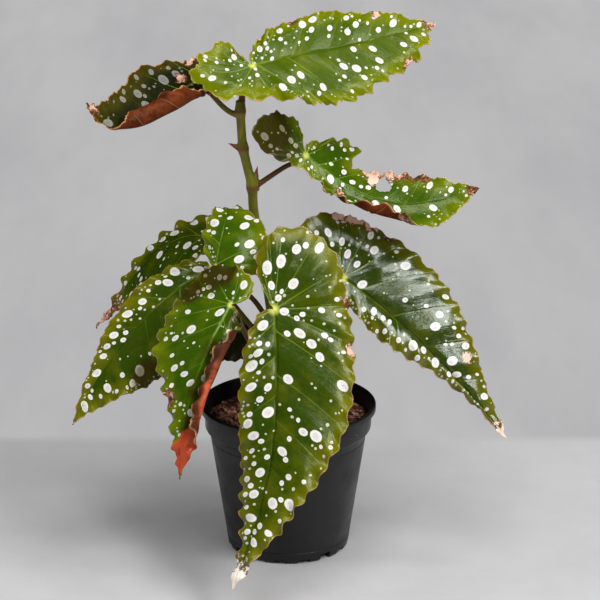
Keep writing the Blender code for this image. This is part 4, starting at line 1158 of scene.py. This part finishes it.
# A flat dried cone at a node; returns its line from base to point
def stipule(shape, place):
    x, y, z, heading, rise, size = place
    length, radius = caneSkin["stipuleLength"] * size, caneSkin["stipuleRadius"] * size
    made = bmesh.ops.create_cone(shape, cap_ends=True, segments=16, radius1=radius * mm,
                                 radius2=caneSkin["stipuleTip"] * mm, depth=length * mm)["verts"]
    bmesh.ops.scale(shape, verts=made, vec=(0.5, 1, 1))
    turn, lift = math.radians(heading), math.radians(rise)
    way = Vector((math.cos(turn) * math.cos(lift), math.sin(turn) * math.cos(lift), math.sin(lift)))
    bmesh.ops.rotate(shape, verts=made, cent=(0, 0, 0), matrix=way.to_track_quat("Z", "Y").to_matrix())
    bmesh.ops.translate(shape, verts=made, vec=(Vector((x, y, z)) + way * length * 0.46) * mm)
    base = np.array((x, y, z), float)
    return base, base + np.array(way) * length * 0.96


# The last two places of a stalk, straight up to the underside of its leaf
def stalkSeat(leafName):
    form = LeafForm(leaves[leafName])
    x = np.array([0.0])
    across, up = form.frameAt(x)
    wide, narrow = form.angle("foldWide", x)[0], form.angle("foldNarrow", x)[0]
    out = up[0] * (math.cos(wide) + math.cos(narrow)) + across[0] * (math.sin(narrow) - math.sin(wide))
    out /= np.linalg.norm(out)
    gap = stalks[leafName].get("seatGap", caneSkin["seatGap"])
    end = form.at + form.direction(x)[0] * caneSkin["seatAhead"] - out * gap
    return [tuple(end - out * caneSkin["seatRun"]), tuple(end)]


def caneFinish():
    skin = Finish("caneSkin")
    place = skin.place()
    red, ring, papery = (skin.attribute(mark) for mark in ("redness", "nodeRing", "stipuleShare"))
    streaks = skin.grain(skin.stretch(place, (1.0, 1.0, 0.15)), 700.0, 4.0, 0.6)
    patch = skin.grain(place, 70.0, 4.0, 0.6)
    specks = skin.span(skin.cells(place, 420.0), 0.05, 0.16, 0.6, 0.0)
    color = skin.blend(skin.span(patch, 0.35, 0.7), caneSkin["green"], caneSkin["pale"])
    color = skin.blend(skin.span(streaks, 0.4, 0.75, 0.0, 0.4), color, caneSkin["streak"])
    for share, tone in ((red, "red"), (specks, "speck"), (ring, "ring"), (papery, "papery")):
        color = skin.blend(share, color, caneSkin[tone])
    bump = skin.relief(streaks, 0.0003, 0.5, skin.relief(specks, 0.0002, 0.6))
    skin.shader.inputs["Specular IOR Level"].default_value = 0.3
    skin.shader.inputs["Subsurface Weight"].default_value = 0.1
    skin.shader.inputs["Subsurface Scale"].default_value = 0.002
    return skin.finish(color, skin.span(streaks, 0.3, 0.7, 0.34, 0.5), bump)


# Marks the skin where it is reddish stalk, node ring or dried stipule
def markSkin(mesh, cane, path, routes, papers):
    points = np.zeros(len(mesh.vertices) * 3)
    mesh.vertices.foreach_get("co", points)
    points = points.reshape(-1, 3) / mm
    own = gapToLine(points, path[::3])
    redness, ring, paper = (np.zeros(len(points)) for _ in range(3))
    nearest = own - caneSkin["caneReach"]
    for route, red in routes:
        gap = gapToLine(points, route[::3]) - caneSkin["stalkRadii"][0]
        redness = np.where(gap < nearest, red, redness)
        nearest = np.minimum(nearest, gap)
    for height in cane["nodes"]:
        close = np.clip(1 - np.abs(points[:, 2] - height) / caneSkin["nodeRing"], 0, 1) * (own < 6.0)
        ring = np.maximum(ring, close)
    for line in papers:
        close = np.clip(caneSkin["stipuleMark"] - gapToLine(points, line), 0, 1) * (own > 4.6)
        paper = np.maximum(paper, close)
    addFloats(mesh, redness=redness, nodeRing=ring, stipuleShare=paper)


def makeCane(name, cane, finish):
    shape = bmesh.new()
    path, _ = smoothLine(cane["path"], step=caneSkin["step"])
    radii = np.linspace(*cane["radii"], len(path))
    for height in cane["nodes"]:
        radii = radii + caneSkin["nodeSwell"] * np.exp(-((path[:, 2] - height) / caneSkin["nodeSpread"]) ** 2)
    tube(shape, path, radii)
    routes = []
    for leafName, stalk in stalks.items():
        if stalk["cane"] == name:
            route, _ = smoothLine(stalk["route"] + stalkSeat(leafName), step=caneSkin["step"])
            tube(shape, route, np.linspace(*caneSkin["stalkRadii"], len(route)))
            routes.append((route, stalk["red"]))
    papers = [stipule(shape, place) for place in cane["stipules"]]
    made = newObject("skin_" + name, meshOf(shape, name), finish)
    fuse = made.modifiers.new("fuse", "REMESH")
    fuse.mode = "VOXEL"
    fuse.voxel_size = caneSkin["voxel"] * mm
    ease = made.modifiers.new("ease", "SMOOTH")
    ease.factor = 0.5
    ease.iterations = caneSkin["smoothing"]
    bakeDown(made)
    markSkin(made.data, cane, path, routes, papers)
    made.data.shade_smooth()
    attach(made, "root")
    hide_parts(name)
    print("stage:", name, len(made.data.polygons), "faces")


caneLook = caneFinish()
for caneName, caneValues in canes.items():
    makeCane(caneName, caneValues, caneLook)
print("stage: canes")
